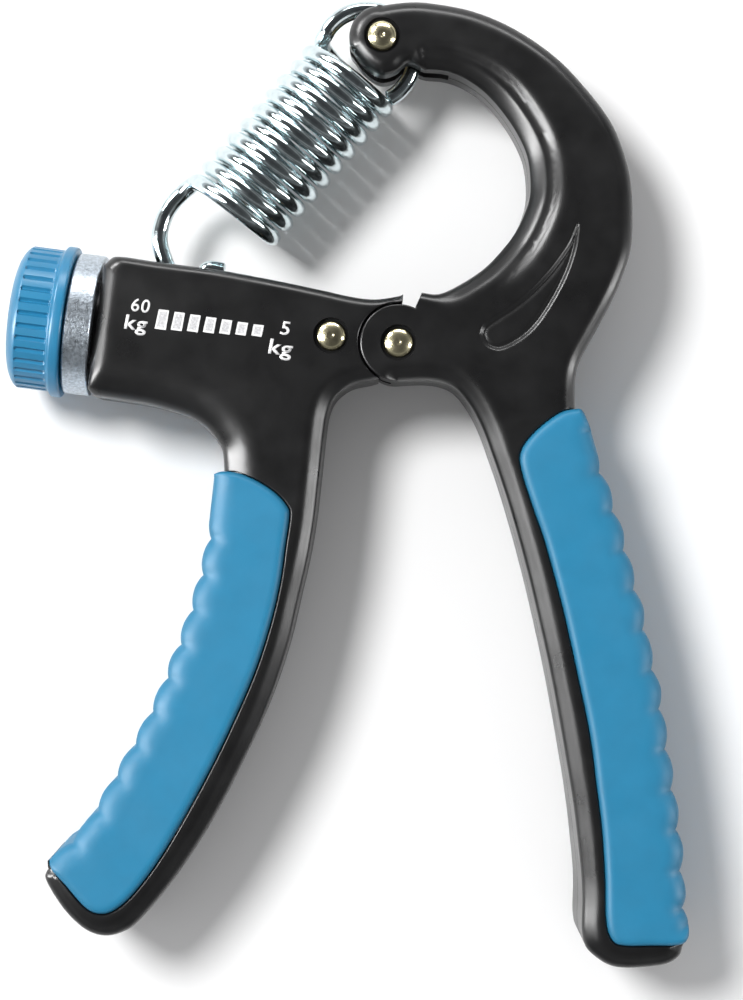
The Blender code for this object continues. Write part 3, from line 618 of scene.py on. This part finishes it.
RIGHT_INNER = [(45.8, -97.2), (45.3, -98.7), (43.6, -99.9), (41.3, -100.4), (37.1, -100.7),
               (34.2, -100.3), (31.8, -98.9), (30.2, -97.2), (29.6, -94.5), (29.7, -89.5),
               (29.4, -84.5), (28.3, -74.8), (26.7, -64.9), (24.9, -55.0), (22.8, -45.1),
               (20.4, -35.2), (17.6, -25.3), (15.4, -18.7), (13.6, -13.8), (11.6, -10.0),
               (9.4, -7.4), (7.0, -6.3), (4.0, -5.95), (0.0, -6.15)]
RIGHT_PAD_IN = [(31.0, -14.1), (29.6, -11.0), (28.3, -10.7), (26.2, -11.2), (24.0, -12.6),
                (21.9, -14.4), (20.1, -16.6), (19.5, -18.6), (20.0, -21.4), (21.4, -25.8),
                (23.5, -31.9), (25.1, -37.6), (26.7, -43.8), (29.0, -54.3), (30.8, -63.1),
                (31.8, -70.8), (32.7, -78.1), (33.2, -85.9), (33.4, -93.0), (34.4, -96.0),
                (36.3, -96.8), (40.5, -96.8), (45.0, -96.7), (46.5, -95.6), (46.7, -93.4)]
RIGHT_PAD_OUT = [(46.7, -93.4), (46.3, -88.3), (45.9, -81.5), (45.1, -75.0), (44.2, -68.5),
                 (43.2, -62.0), (42.3, -55.6), (40.8, -49.2), (39.5, -42.7), (37.8, -36.3),
                 (36.2, -30.1), (34.2, -23.7), (32.0, -17.6), (31.0, -14.1)]


def scalloped(pts, first, last, out_side, depth=0.85, steps=12):
    """Finger-side edge of a pad: a rounded bump at each listed point."""
    out = []
    for i in range(len(pts) - 1):
        a, b = Vector(pts[i]), Vector(pts[i + 1])
        d = (b - a).normalized()
        nrm = Vector((-d.y, d.x)) * out_side
        for k in range(steps):
            t = k / steps
            h = depth * (1 - abs(math.cos(math.pi * t)) ** 0.8) if first <= i < last else 0.0
            q = a.lerp(b, t) - nrm * h
            out.append((q.x, q.y))
    return out


barrel_end = [along(BARREL_T + 0.9, -11.7), along(BARREL_T, -10.6), along(BARREL_T, 9.4),
              along(BARREL_T + 1.2, 10.9)]
top_line = spline([along(BARREL_T + 1.2, 10.9)] + BARREL_TOP)
inner_l = spline(LEFT_INNER)
low_line = spline(BARREL_LOW) + [along(BARREL_T + 0.9, -11.7)]
pad_l_in = spline(LEFT_PAD_IN)
pad_r_in = spline(RIGHT_PAD_IN)
seat_l = offset(pad_l_in[5:], -0.12, closed=False)[::-1]
socket = arc(PIVOT, SOCKET_R, 84, 241, 40)
left_outline = clean(barrel_end[1:3] + top_line + socket + inner_l + seat_l + low_line)
knuckle = arc(PIVOT, KNUCKLE_R, 270, 64, 52)
inner_c = spline(ARM_INNER)
tip_line = spline(ARM_TIP) + arc(EYE, 5.35, 200, 100, 24)
outer_c = spline(ARM_OUTER)
inner_r = spline(RIGHT_INNER)
seat_r = offset(pad_r_in[10:-8], 0.12, closed=False)
right_outline = clean(knuckle + inner_c + tip_line + outer_c + seat_r + inner_r)
left_pad = clean(pad_l_in + scalloped(LEFT_PAD_OUT, 1, 11, 1))
right_pad = clean(pad_r_in + scalloped(RIGHT_PAD_OUT, 0, 12, -1))

HANDLE_EDGE = table([(0, 2.1), (0.2, 1.55), (0.6, 1.12), (1.2, 0.74), (1.8, 0.36), (2.4, 0.12), (3.0, 0.02), (3.6, 0)])
BARREL_SIDE = table([(0, 3.4), (0.2, 2.6), (0.7, 1.85), (1.5, 1.2), (2.6, 0.62), (3.8, 0.24), (5.0, 0.05), (6.0, 0)])
END_EDGE = table([(0, 2.3), (0.15, 1.7), (0.5, 1.05), (1.0, 0.55), (1.6, 0.2), (2.2, 0.04), (2.8, 0)])
SMALL_EDGE = table([(0, 1.5), (0.12, 1.1), (0.35, 0.68), (0.7, 0.34), (1.1, 0.12), (1.5, 0.02), (1.9, 0)])
OUTER_EDGE = table([(0, 2.0), (0.15, 1.5), (0.5, 0.95), (1.0, 0.5), (1.6, 0.18), (2.2, 0.03), (2.8, 0)])
FINE_EDGE = table([(0, 0.22), (0.07, 0.1), (0.18, 0.03), (0.35, 0)])
BAND = profile([(0, 64), (0.33, 53), (0.9, 45), (1.55, 37), (2.05, 29), (2.4, 19), (2.7, 7), (2.95, 0), (3.15, 5),
                (3.4, 20), (3.8, 34), (4.3, 34), (4.85, 21), (5.5, 8), (6.2, 0)])
PAD_EDGE = table([(0, 1.3), (0.1, 0.9), (0.3, 0.5), (0.6, 0.2), (0.95, 0.05), (1.4, 0)])
PAD_GRIP = table([(0, 2.6), (0.15, 2.0), (0.5, 1.35), (1.1, 0.75), (1.9, 0.3), (2.8, 0.07), (3.8, 0)])

LEAF_LOW = [(12.95, 1.35), (13.5, -0.15), (14.9, -1.15), (16.7, -1.3), (19.4, 0.0), (22.2, 2.4), (24.9, 6.3),
            (27.1, 10.5), (28.6, 14.8), (29.2, 18.6)]
LEAF_TOP = [(29.2, 18.6), (29.0, 19.3), (28.5, 18.7), (27.3, 16.0), (25.4, 13.2), (23.3, 10.6), (20.8, 8.1),
            (18.0, 5.9), (15.2, 4.1), (13.5, 2.8), (12.95, 1.35)]
leaf = clean(spline(LEAF_LOW) + spline(LEAF_TOP))
CREASE = [(3.0, 49.8), (2.8, 48.0), (1.7, 45.6)]


def blend_drops(*drops):
    return np.sqrt(sum(d * d for d in drops))


def left_top(P):
    end = END_EDGE(np.minimum(dist_to(P, barrel_end), 9))
    top = SMALL_EDGE(dist_to(P, top_line))
    fine = FINE_EDGE(np.minimum(dist_to(P, socket), dist_to(P, seat_l)))
    inner = HANDLE_EDGE(dist_to(P, inner_l))
    low = BARREL_SIDE(dist_to(P, low_line))
    return SHELL_HALF - blend_drops(end, top, fine, inner, low)


def base_half(P):
    y = P[:, 1] - 9.0
    return SHELL_HALF - RISE * 0.5 * (y + np.sqrt(y * y + 6.0))


def right_top(P):
    x, y = P[:, 0], P[:, 1]
    ang = np.degrees(np.arctan2(y - 26.5, x - 3.5))
    f = ramp(ang, -66.0, -30.0)
    tip_end = ramp(ang, 86.5, 92.0)
    narrow = ramp(ang, 40.0, 86.0)
    d = dist_to(P, inner_c)
    band = BAND(d * (1 + 0.3 * narrow)) * (1 - 0.4 * narrow)
    low_round = ramp(ang, -88.0, -70.0)
    round_edge = HANDLE_EDGE(d) * 1.25 * low_round + SMALL_EDGE(d) * (1 - low_round)
    inner = (band * f + round_edge * (1 - f)) * (1 - tip_end) + SMALL_EDGE(d) * tip_end
    outer = OUTER_EDGE(dist_to(P, outer_c))
    tip = OUTER_EDGE(dist_to(P, tip_line))
    fine = FINE_EDGE(np.minimum(dist_to(P, knuckle), dist_to(P, seat_r)))
    handle = HANDLE_EDGE(dist_to(P, inner_r))
    drop = blend_drops(inner, outer, tip, fine, handle)
    # crease where the round spring eye boss meets the arm
    c = dist_to(P, CREASE)
    drop = drop + 0.3 * np.exp(-(c / 0.6) ** 2) * ramp(y, 48.0, 45.6)
    # leaf: a shallow recess with soft walls, deepest just inside its outline
    dl = dist_to(P, leaf, True)
    sl = np.where(inside(P, leaf), dl, -dl)
    drop = drop + 0.38 * ramp(sl, -0.1, 0.75) + 0.16 * np.exp(-((sl - 0.72) / 0.4) ** 2)
    return base_half(P) - drop


def seam(P):
    return np.full(len(P), 0.15)


def tongue(grow):
    return clean(arc(PIVOT, 5.2 + grow, -75, 75, 16) + arc(LEFT_RIVET, 3.6 + grow, 90, 270, 16))


def rect(t0, t1, n0, n1):
    return densify([along(t0, n0), along(t1, n0), along(t1, n1), along(t0, n1)], 1.5)


LEFT_SCREWS = [(-37.5, -7.6), (-17.5, -9.0), (-15.8, -25.5), (-36.7, -83.4)]
RIGHT_SCREWS = [(26.0, 36.5), (31.0, 8.5), (17.2, -15.2), (31.0, -81.0)]

fine_left = [(densify(offset(low_line, k, closed=False), 0.7, False), 0.35) for k in (-3.9, -4.6, -5.4, -6.2)]
fine_right = [(densify(offset(inner_c, -k, closed=False), 0.45, False), 0.16)
              for k in (2.87, 3.08, 3.5, 3.7, 3.9, 4.1, 4.3, 4.5, 4.75, 5.05, 5.4, 5.9, 6.5)]
fine_right += [(densify(offset(leaf, -k), 0.5), 0.16) for k in (-0.35, -0.1, 0.1, 0.3, 0.5, 0.7, 0.9, 1.15, 1.5)]
fine_right += [(densify(offset(CREASE, k, closed=False), 0.5, False), 0.2)
               for k in (-1.2, -0.8, -0.4, 0, 0.4, 0.8, 1.2)]

for side, tag in ((1, "front"), (-1, "rear")):
    st = [Step(circle(LEFT_RIVET, 2.9), 10.6)]
    if side < 0:
        st += [Step(circle(p, 1.8, 28), SHELL_HALF - 2.0) for p in LEFT_SCREWS]
    slab(f"left_case_{tag}", left_outline, [circle(LEFT_RIVET, 1.8, 24)], left_top, seam, side,
         "case_plastic", "left_handle", [f"left_shell_{tag}"], "case_plastic",
         fine=fine_left + [(circle(LEFT_RIVET, r, 40), 0.15) for r in (3.05, 3.3, 3.7)],
         steps_top=st,
         steps_bottom=[Step(rect(15.5, 42.9, -6.5, 7.4), 7.6), Step(rect(17.2, 42.2, 6.9, 17.0), 3.1),
                       Step(tongue(0.3), 2.3)], wall=(0.04, 0.5, 0.92))
    st = [Step(circle(PIVOT, 2.9), 10.6), Step(circle(EYE, 2.95), 6.3)]
    if side < 0:
        st += [Step(circle(p, 1.8, 28), SHELL_HALF - max(0.0, (p[1] - 9) * RISE) - 2.0) for p in RIGHT_SCREWS]
    slab(f"right_case_{tag}", right_outline, [circle(PIVOT, 1.8, 24), circle(EYE, 1.8, 24)], right_top, seam, side,
         "case_plastic", "right_handle", [f"right_shell_{tag}"], "case_plastic",
         fine=fine_right + [(circle(c, r, 40), 0.15) for c in (PIVOT, EYE) for r in (3.05, 3.3, 3.7)],
         steps_top=st,
         steps_bottom=[Step(circle(EYE, 12.4, 90), 2.1),
                       Step(clean(arc(PIVOT, 5.8, -80, 100, 30) + [(-8, 5.6), (-8, -7.2)]), 2.3),
                       Step(circle(PIVOT, 2.95), 9.6)], wall=(0.04, 0.5, 0.92))


def pad_top(edge_line, grip_line):
    def rule(P):
        return PAD_HALF - blend_drops(PAD_EDGE(dist_to(P, edge_line)), PAD_GRIP(dist_to(P, grip_line)))
    return rule


grip_l = scalloped(LEFT_PAD_OUT, 1, 11, 1)
grip_r = scalloped(RIGHT_PAD_OUT, 0, 12, -1)
slab("left_pad", left_pad, [], pad_top(pad_l_in, grip_l), None, 1, "pad_rubber", "left_handle",
     ["left_grip_pad"], "pad_rubber", both=True, wall=(0.03, 0.25, 0.5, 0.75, 0.97), grid=0.9)
slab("right_pad", right_pad, [], pad_top(pad_r_in, grip_r), None, 1, "pad_rubber", "right_handle",
     ["right_grip_pad"], "pad_rubber", both=True, wall=(0.03, 0.25, 0.5, 0.75, 0.97), grid=0.9)

# ---- turned pieces ---------------------------------------------------------


def rivet(name, p, seat, top, head, body, node):
    h = top - seat
    prof = [(seat, 1.5), (seat, head - 0.08), (seat + 0.1, head), (seat + 0.2, head), (seat + 0.35 * h, head * 0.97),
            (seat + 0.58 * h, head * 0.87), (seat + 0.78 * h, head * 0.7), (seat + 0.91 * h, head * 0.5),
            (seat + 0.98 * h, head * 0.33), (seat + h, head * 0.24), (seat + 0.97 * h, head * 0.17),
            (seat + 0.9 * h, head * 0.09), (seat + 0.88 * h, 0)]
    full = [(-t, r) for t, r in reversed(prof)] + prof
    lathe(name, full, (p[0], p[1], MID), (0, 0, 1), "rivet_metal", 48, body=body, replaces=[node],
          slot="rivet_metal", angle=50)


rivet("left_rivet_pin", LEFT_RIVET, 10.6, 11.75, 2.42, "left_handle", "left_rivet")
rivet("pivot_rivet_pin", PIVOT, 10.6, 11.75, 2.42, "left_handle", "pivot_rivet")
rivet("eye_rivet_pin", EYE, 6.35, 7.8, 2.52, "right_handle", "eye_rivet")

base = (AXIS_START[0], AXIS_START[1], MID)
axis = (U[0], U[1], 0)
lathe("barrel_ring", [(9.0, 8.0), (13.3, 8.0), (13.3, 11.35), (13.22, 11.5), (13.05, 11.6), (9.3, 11.6),
                      (9.1, 11.5), (9.0, 11.35), (9.0, 8.0)], base, axis, "collar_metal", 128,
      body="left_handle", replaces=["barrel_collar"], slot="collar_metal", angle=25)
lathe("barrel_spigot", [(9.25, 3.2), (9.25, 7.4), (9.5, 7.7), (14.4, 7.7), (14.4, 3.2), (9.25, 3.2)], base, axis,
      "case_plastic", 64, body="left_handle", slot="case_plastic", angle=25)

RIBS = 36


def ribs(t, an):
    """Narrow grooves with rounded ends round the knob."""
    k = (an * RIBS / (2 * math.pi)) % 1.0
    k = min(k, 1 - k) * 2 * math.pi * 11.7 / RIBS
    run = min(t - 1.35, 6.45 - t)
    if run <= 0:
        return 0.0
    w = 0.34
    d = k if run > w else math.hypot(k, w - run)
    return 0.5 * max(0.0, 1 - (d / w) ** 2) ** 0.6


prof = [(-0.8, 0), (-0.79, 2.0), (-0.76, 4.0), (-0.7, 6.0), (-0.6, 7.6), (-0.42, 8.9), (-0.1, 9.9), (0.25, 10.6),
        (0.6, 11.1), (0.9, 11.42), (1.1, 11.58), (1.25, 11.66), (1.35, 11.7)]
prof += [(1.35 + 0.08 * k, 11.7) for k in range(1, 6)]
prof += [(1.9 + 0.5 * k, 11.7) for k in range(0, 9)]
prof += [(6.02 + 0.08 * k, 11.7) for k in range(0, 6)]
prof += [(6.5, 11.7), (6.58, 11.75), (6.75, 12.0), (6.92, 12.28), (7.05, 12.4), (7.25, 12.45), (8.2, 12.45),
         (8.45, 12.4), (8.62, 12.25), (8.7, 12.0), (8.7, 2.9), (3.3, 2.9), (3.2, 2.6), (3.2, 0)]
lathe("knob_cap", prof, base, axis, "knob_plastic", RIBS * 14, wave=ribs, body="knob_assembly",
      replaces=["knob"], slot="knob_plastic", angle=40)


def screw_head(name, p, top, body, node):
    """Pan head with a cross recess, seen on the rear."""
    arm, w = 0.98, 0.2
    cross = [(w, w), (w, arm), (-w, arm), (-w, w), (-arm, w), (-arm, -w), (-w, -w), (-w, -arm), (w, -arm),
             (w, -w), (arm, -w), (arm, w)]
    cross = [(p[0] + x, p[1] + y) for x, y in cross]

    def rule(P):
        r = np.hypot(P[:, 0] - p[0], P[:, 1] - p[1])
        return top - 0.45 * (r / 1.5) ** 4

    slab(name, circle(p, 1.5, 36), [], rule, lambda P: np.full(len(P), top - 1.2), -1, "plated_steel", body,
         [node], "plated_steel", grid=0.3, steps_top=[Step(cross, top - 0.7, 0.06)])


for i, p in enumerate(LEFT_SCREWS):
    screw_head(f"left_screw_{i + 1}", p, SHELL_HALF - 0.5, "left_handle", f"left_case_screw_{i + 1}")
for i, p in enumerate(RIGHT_SCREWS):
    screw_head(f"right_screw_{i + 1}", p, SHELL_HALF - max(0.0, (p[1] - 9) * RISE) - 0.5, "right_handle",
               f"right_case_screw_{i + 1}")

# ---- spring ----------------------------------------------------------------

WIRE_R, COIL_R, COIL_PITCH = 1.37, 7.65, 3.13
COIL_DIR = math.radians(48.9)
LOW = Vector((-27.45, 21.9, MID))
COIL_TURNS, START_TURN = 9.93, 0.07
D = Vector((math.cos(COIL_DIR), math.sin(COIL_DIR), 0))
S = Vector((-D.y, D.x, 0))
Z = Vector((0, 0, 1))


def coil(turn):
    a = 2 * math.pi * turn
    return LOW + D * (COIL_PITCH * turn) + (S * math.cos(a) + Z * math.sin(a)) * COIL_R


def smooth3(pts, n):
    out = []
    for i in range(len(pts) - 1):
        p0, p1, p2, p3 = (Vector(pts[max(i - 1, 0)]), Vector(pts[i]), Vector(pts[i + 1]),
                          Vector(pts[min(i + 2, len(pts) - 1)]))
        for k in range(n):
            t = k / n
            out.append(0.5 * ((2 * p1) + (p2 - p0) * t + (2 * p0 - 5 * p1 + 4 * p2 - p3) * t * t
                              + (3 * p1 - p0 - 3 * p2 + p3) * t ** 3))
    out.append(Vector(pts[-1]))
    return out


back = (coil(START_TURN) - coil(START_TURN + 0.01)).normalized()
hook = smooth3([coil(START_TURN), coil(START_TURN) + back * 1.0, (-33.7, 26.6, MID + 1.25),
                (-35.3, 25.5, MID + 0.2), (-37.3, 23.4, MID), (-38.7, 20.8, MID), (-39.3, 17.6, MID),
                (-38.5, 14.4, MID), (-37.25, 11.6, MID),
                (-36.2, 9.4, MID), (-34.6, 8.65, MID), (-32.9, 9.3, MID), (-32.0, 11.3, MID),
                (-31.2, 12.8, MID), (-28.8, 12.5, MID)], 8)
TURN_STEPS = 44
n_c = int((COIL_TURNS - START_TURN) * TURN_STEPS)
winding = [coil(START_TURN + (COIL_TURNS - START_TURN) * i / n_c) for i in range(n_c + 1)]
top_c = Vector((-5.1, 47.8, MID))
loop = [top_c + (S * math.cos(a) + D * math.sin(a)) * 7.8
        for a in [math.radians(d) for d in np.linspace(-8, 200, 60)]]
bend = smooth3([winding[-1], LOW + D * (COIL_PITCH * 10 + 0.1) + S * (COIL_R - 0.1) - Z * 1.3,
                LOW + D * (COIL_PITCH * 10 + 1.3) + S * (COIL_R + 0.1) - Z * 0.2, loop[0]], 8)
path = hook[::-1][:-1] + winding[:-1] + bend[:-1] + loop
i_coil = len(hook) - 1
i_loop = i_coil + len(winding) - 1
turn_of = [START_TURN + (COIL_TURNS - START_TURN) * max(0, min(n_c, i - i_coil)) / n_c for i in range(len(path))]

WIRE_N = 20
tan = [(path[min(i + 1, len(path) - 1)] - path[max(i - 1, 0)]).normalized() for i in range(len(path))]
sv = tan[0].orthogonal().normalized()
rings3 = []
for p, t in zip(path, tan):
    sv = (sv - t * sv.dot(t)).normalized()
    uv = t.cross(sv)
    rings3.append([p + (sv * math.cos(2 * math.pi * k / WIRE_N) + uv * math.sin(2 * math.pi * k / WIRE_N)) * WIRE_R
                   for k in range(WIRE_N)])


def wire(name, i0, i1, cap0, cap1):
    """One length of the wire, from ring i0 to ring i1; a free end is rounded."""
    verts, rows, faces = [], [], []
    ext = []
    if cap0:
        ext += [(i0, -0.32, 0.6), (i0, -0.2, 0.86)]
    ext += [(i, 0.0, 1.0) for i in range(i0, i1 + 1)]
    if cap1:
        ext += [(i1, 0.2, 0.86), (i1, 0.32, 0.6)]
    weights = []
    for i, shift, scale in ext:
        row = []
        for v in rings3[i]:
            row.append(len(verts))
            verts.append(tuple(path[i] + (v - path[i]) * scale + tan[i] * shift))
            weights.append(i)
        rows.append(row)
    for lo, hi in zip(rows, rows[1:]):
        for k in range(WIRE_N):
            j = (k + 1) % WIRE_N
            faces.append((lo[k], lo[j], hi[j], hi[k]))
    faces.append(tuple(rows[0][::-1]))
    faces.append(tuple(rows[-1]))
    return obj(name, verts, faces, "spring_wire", slot="spring_wire", angle=40, merge=False), np.array(weights)


def ring_blend(ob):
    """Bake the object's placement into its mesh; no blend is applied."""
    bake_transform(ob)


coil_ob, idx = wire("spring_coil", i_coil, i_loop, False, False)
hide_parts("spring_lower")
low_end, top_end = coil(START_TURN), coil(COIL_TURNS)
share = np.array([(COIL_TURNS - turn_of[i]) / (COIL_TURNS - START_TURN) for i in idx])
ring_blend(coil_ob)
loop_ob, idx = wire("spring_eye_loop", i_loop, len(path) - 1, False, True)
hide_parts("spring_upper")
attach(loop_ob, "spring_top")
leg_ob, idx = wire("spring_hook_leg", 0, i_coil, True, False)
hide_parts("spring_hook")
bend_from, bend_to = i_coil - 8, i_coil - 48
share = np.clip((bend_from - idx) / (bend_from - bend_to), 0, 1)
share = share * share * (3 - 2 * share)
ring_blend(leg_ob)

# ---- printed load scale ----------------------------------------------------

FACE_Z = MID + SHELL_HALF


def print_text(name, text, centre, width, height, bold=0.0, tilt=-7.6, slant=4.0):
    cu = bpy.data.curves.new(name + "_c", "FONT")
    cu.body = text
    cu.size = 1.0
    cu.offset = bold
    cu.space_character = 1.12
    cu.resolution_u = 6
    tmp = bpy.data.objects.new(name + "_t", cu)
    bpy.context.scene.collection.objects.link(tmp)
    bpy.context.view_layer.update()
    me = bpy.data.meshes.new_from_object(tmp.evaluated_get(bpy.context.evaluated_depsgraph_get()))
    bpy.data.objects.remove(tmp)
    bpy.data.curves.remove(cu)
    bm = bmesh.new()
    bm.from_mesh(me)
    bmesh.ops.remove_doubles(bm, verts=bm.verts, dist=1e-5)
    co = np.array([v.co for v in bm.verts])
    lo, hi = co.min(0), co.max(0)
    c, s = math.cos(math.radians(tilt)), math.sin(math.radians(tilt))
    for v in bm.verts:
        x = (v.co.x - (lo[0] + hi[0]) / 2) / (hi[0] - lo[0]) * width
        y = (v.co.y - (lo[1] + hi[1]) / 2) / (hi[1] - lo[1]) * height
        x += y * math.tan(math.radians(slant))
        v.co = place((centre[0] + x * c - y * s, centre[1] + x * s + y * c, FACE_Z + 0.012))
    for f in bm.faces:
        f.normal_update()
        if f.normal.z < 0:
            f.normal_flip()
    skirt = bmesh.ops.extrude_face_region(bm, geom=list(bm.faces))
    for v in [g for g in skirt["geom"] if isinstance(g, bmesh.types.BMVert)]:
        v.co.z += 0.02 * MM
    bmesh.ops.recalc_face_normals(bm, faces=bm.faces)
    bm.to_mesh(me)
    bm.free()
    me.name = name
    me.materials.clear()
    me.materials.append(MATS["print_white"])
    ob = bpy.data.objects.new(name, me)
    bpy.context.scene.collection.objects.link(ob)
    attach(ob, "left_handle")
    return ob


print_text("scale_high", "60", (-41.3, 5.9), 2.95, 2.15, 0.012)
print_text("scale_high_unit", "kg", (-42.1, 2.75), 3.6, 3.1, 0.02)
print_text("scale_low", "5", (-18.1, 2.25), 1.45, 2.2, 0.012)
print_text("scale_low_unit", "kg", (-18.9, -1.2), 3.8, 3.2, 0.02)


def lerp(a, b, t):
    return (a[0] + (b[0] - a[0]) * t, a[1] + (b[1] - a[1]) * t)


def quad_prism(verts, faces, q, z0, z1):
    b = len(verts)
    verts += [(x, y, z) for z in (z0, z1) for x, y in q]
    faces += [(b + 3, b + 2, b + 1, b), (b + 4, b + 5, b + 6, b + 7)]
    faces += [(b + i, b + (i + 1) % 4, b + 4 + (i + 1) % 4, b + 4 + i) for i in range(4)]


frame_v, frame_f, fill_v, fill_f = [], [], [], []
for i in range(7):
    t = i / 6
    bl, br = lerp((-39.1, 2.2), (-23.6, 1.1), t), lerp((-37.3, 1.95), (-21.95, 0.85), t)
    tl, tr = lerp((-38.4, 5.3), (-23.2, 2.9), t), lerp((-36.75, 5.1), (-21.55, 2.7), t)
    q = [bl, br, tr, tl]
    quad_prism(frame_v, frame_f, q, FACE_Z + 0.01, FACE_Z + 0.03)
    c = (sum(p[0] for p in q) / 4, sum(p[1] for p in q) / 4)
    w, h = math.dist(bl, br), math.dist(bl, tl)
    k, kk = 1 - 0.62 / w, 1 - 0.62 / h
    ex = ((br[0] - bl[0]) / 2 * k, (br[1] - bl[1]) / 2 * k)
    ey = ((tl[0] - bl[0]) / 2 * kk, (tl[1] - bl[1]) / 2 * kk)
    inner = [(c[0] + sx * ex[0] + sy * ey[0], c[1] + sx * ex[1] + sy * ey[1])
             for sx, sy in ((-1, -1), (1, -1), (1, 1), (-1, 1))]
    quad_prism(fill_v, fill_f, inner, FACE_Z + 0.012, FACE_Z + 0.04)
obj("scale_blocks", frame_v, frame_f, "print_white", body="left_handle", merge=False)
obj("scale_block_fill", fill_v, fill_f, "print_grey", body="left_handle", merge=False)

# ---- carried-over metal and plastic parts ----------------------------------

for node, mat in (("hinge_tongue", "plated_steel"), ("lead_screw", "plated_steel"), ("screw_clip", "plated_steel"),
                  ("thrust_washer", "plated_steel"), ("hook_pin", "plated_steel"), ("pivot_bush", "bush_bronze"),
                  ("eye_bush", "bush_bronze"), ("screw_end_bush", "bush_bronze"), ("slider_nut", "slider_plastic")):
    me = frame["nodes"][node].data
    me.materials.clear()
    me.materials.append(MATS[mat])

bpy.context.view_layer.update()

# ---- stage, lights, camera -------------------------------------------------

bm = bmesh.new()
bmesh.ops.create_grid(bm, x_segments=8, y_segments=8, size=4.0)
me = bpy.data.meshes.new("floor")
bm.to_mesh(me)
bm.free()
floor = bpy.data.objects.new("floor", me)
floor.location = (0, 0, -0.0002)
bpy.context.scene.collection.objects.link(floor)
fm = bpy.data.materials.new("floor_paper")
fm.use_nodes = True
fb = fm.node_tree.nodes["Principled BSDF"]
fb.inputs["Base Color"].default_value = (0.86, 0.86, 0.86, 1)
fb.inputs["Roughness"].default_value = 0.9
fb.inputs["Specular IOR Level"].default_value = 0.1
me.materials.append(fm)


def light(name, loc, aim, size, power, colour=(1, 1, 1), size_y=None):
    ld = bpy.data.lights.new(name, "AREA")
    ld.energy = power
    ld.color = colour
    if size_y:
        ld.shape = "RECTANGLE"
        ld.size, ld.size_y = size, size_y
    else:
        ld.shape = "DISK"
        ld.size = size
    ob = bpy.data.objects.new(name, ld)
    ob.location = loc
    ob.rotation_euler = (Vector(aim) - Vector(loc)).to_track_quat("-Z", "Y").to_euler()
    bpy.context.scene.collection.objects.link(ob)
    return ob


key = light("key", (-0.411, 0.322, 0.86), (0.009, 0.002, 0), 0.30, 10.2)
key.visible_glossy = False          # soft shadows only; the cards below give the sheen
for card in (light("left_card", (-0.741, -0.028, 0.44), (0.009, 0.002, 0.01), 0.24, 20.0, size_y=0.9),
             light("back_card", (0.109, 0.872, 0.42), (0.009, 0.022, 0.01), 0.8, 6.0, size_y=0.2),
             light("right_card", (0.809, -0.128, 0.26), (0.009, -0.008, 0.01), 0.12, 5.0, size_y=0.7),
             light("key_card", (-0.62, 0.66, 0.52), (0.009, 0.022, 0.01), 0.34, 9.0)):
    card.visible_diffuse = False

w = bpy.data.worlds.new("studio")
bpy.context.scene.world = w
w.use_nodes = True
nt = w.node_tree
bg = nt.nodes["Background"]
tc = nt.nodes.new("ShaderNodeTexCoord")
sep = nt.nodes.new("ShaderNodeSeparateXYZ")
nt.links.new(tc.outputs["Generated"], sep.inputs[0])
cr = nt.nodes.new("ShaderNodeValToRGB")
nt.links.new(sep.outputs["Z"], cr.inputs[0])
el = cr.color_ramp.elements
el[0].position, el[0].color = 0.0, (0.75, 0.77, 0.8, 1)
el[1].position, el[1].color = 1.0, (0.045, 0.045, 0.048, 1)
for pos, v in ((0.10, 0.62), (0.22, 0.14), (0.42, 0.08), (0.55, 0.26), (0.72, 0.08)):
    e = el.new(pos)
    e.color = (v, v * 1.01, v * 1.03, 1)
lp = nt.nodes.new("ShaderNodeLightPath")
mx = nt.nodes.new("ShaderNodeMix")
mx.data_type = "RGBA"
nt.links.new(lp.outputs["Is Glossy Ray"], mx.inputs["Factor"])
mx.inputs["A"].default_value = (0.51, 0.51, 0.515, 1)
nt.links.new(cr.outputs["Color"], mx.inputs["B"])
mc = nt.nodes.new("ShaderNodeMix")
mc.data_type = "RGBA"
nt.links.new(lp.outputs["Is Camera Ray"], mc.inputs["Factor"])
nt.links.new(mx.outputs["Result"], mc.inputs["A"])
mc.inputs["B"].default_value = (1.0, 1.0, 1.0, 1)
nt.links.new(mc.outputs["Result"], bg.inputs["Color"])
bg.inputs["Strength"].default_value = 1.0

sc = bpy.context.scene
sc.view_settings.view_transform = "Standard"
sc.view_settings.look = "None"
sc.view_settings.exposure = 0.0

cam_data = bpy.data.cameras.new("camera")
cam_data.lens = 88.8
cam_data.sensor_width = 36.0
cam_data.clip_start, cam_data.clip_end = 0.01, 20.0
cam = bpy.data.objects.new("camera", cam_data)
cam.location = (0.00447, -0.00337, 0.4195)
cam.rotation_euler = (0, 0, 0)
bpy.context.scene.collection.objects.link(cam)
sc.camera = cam
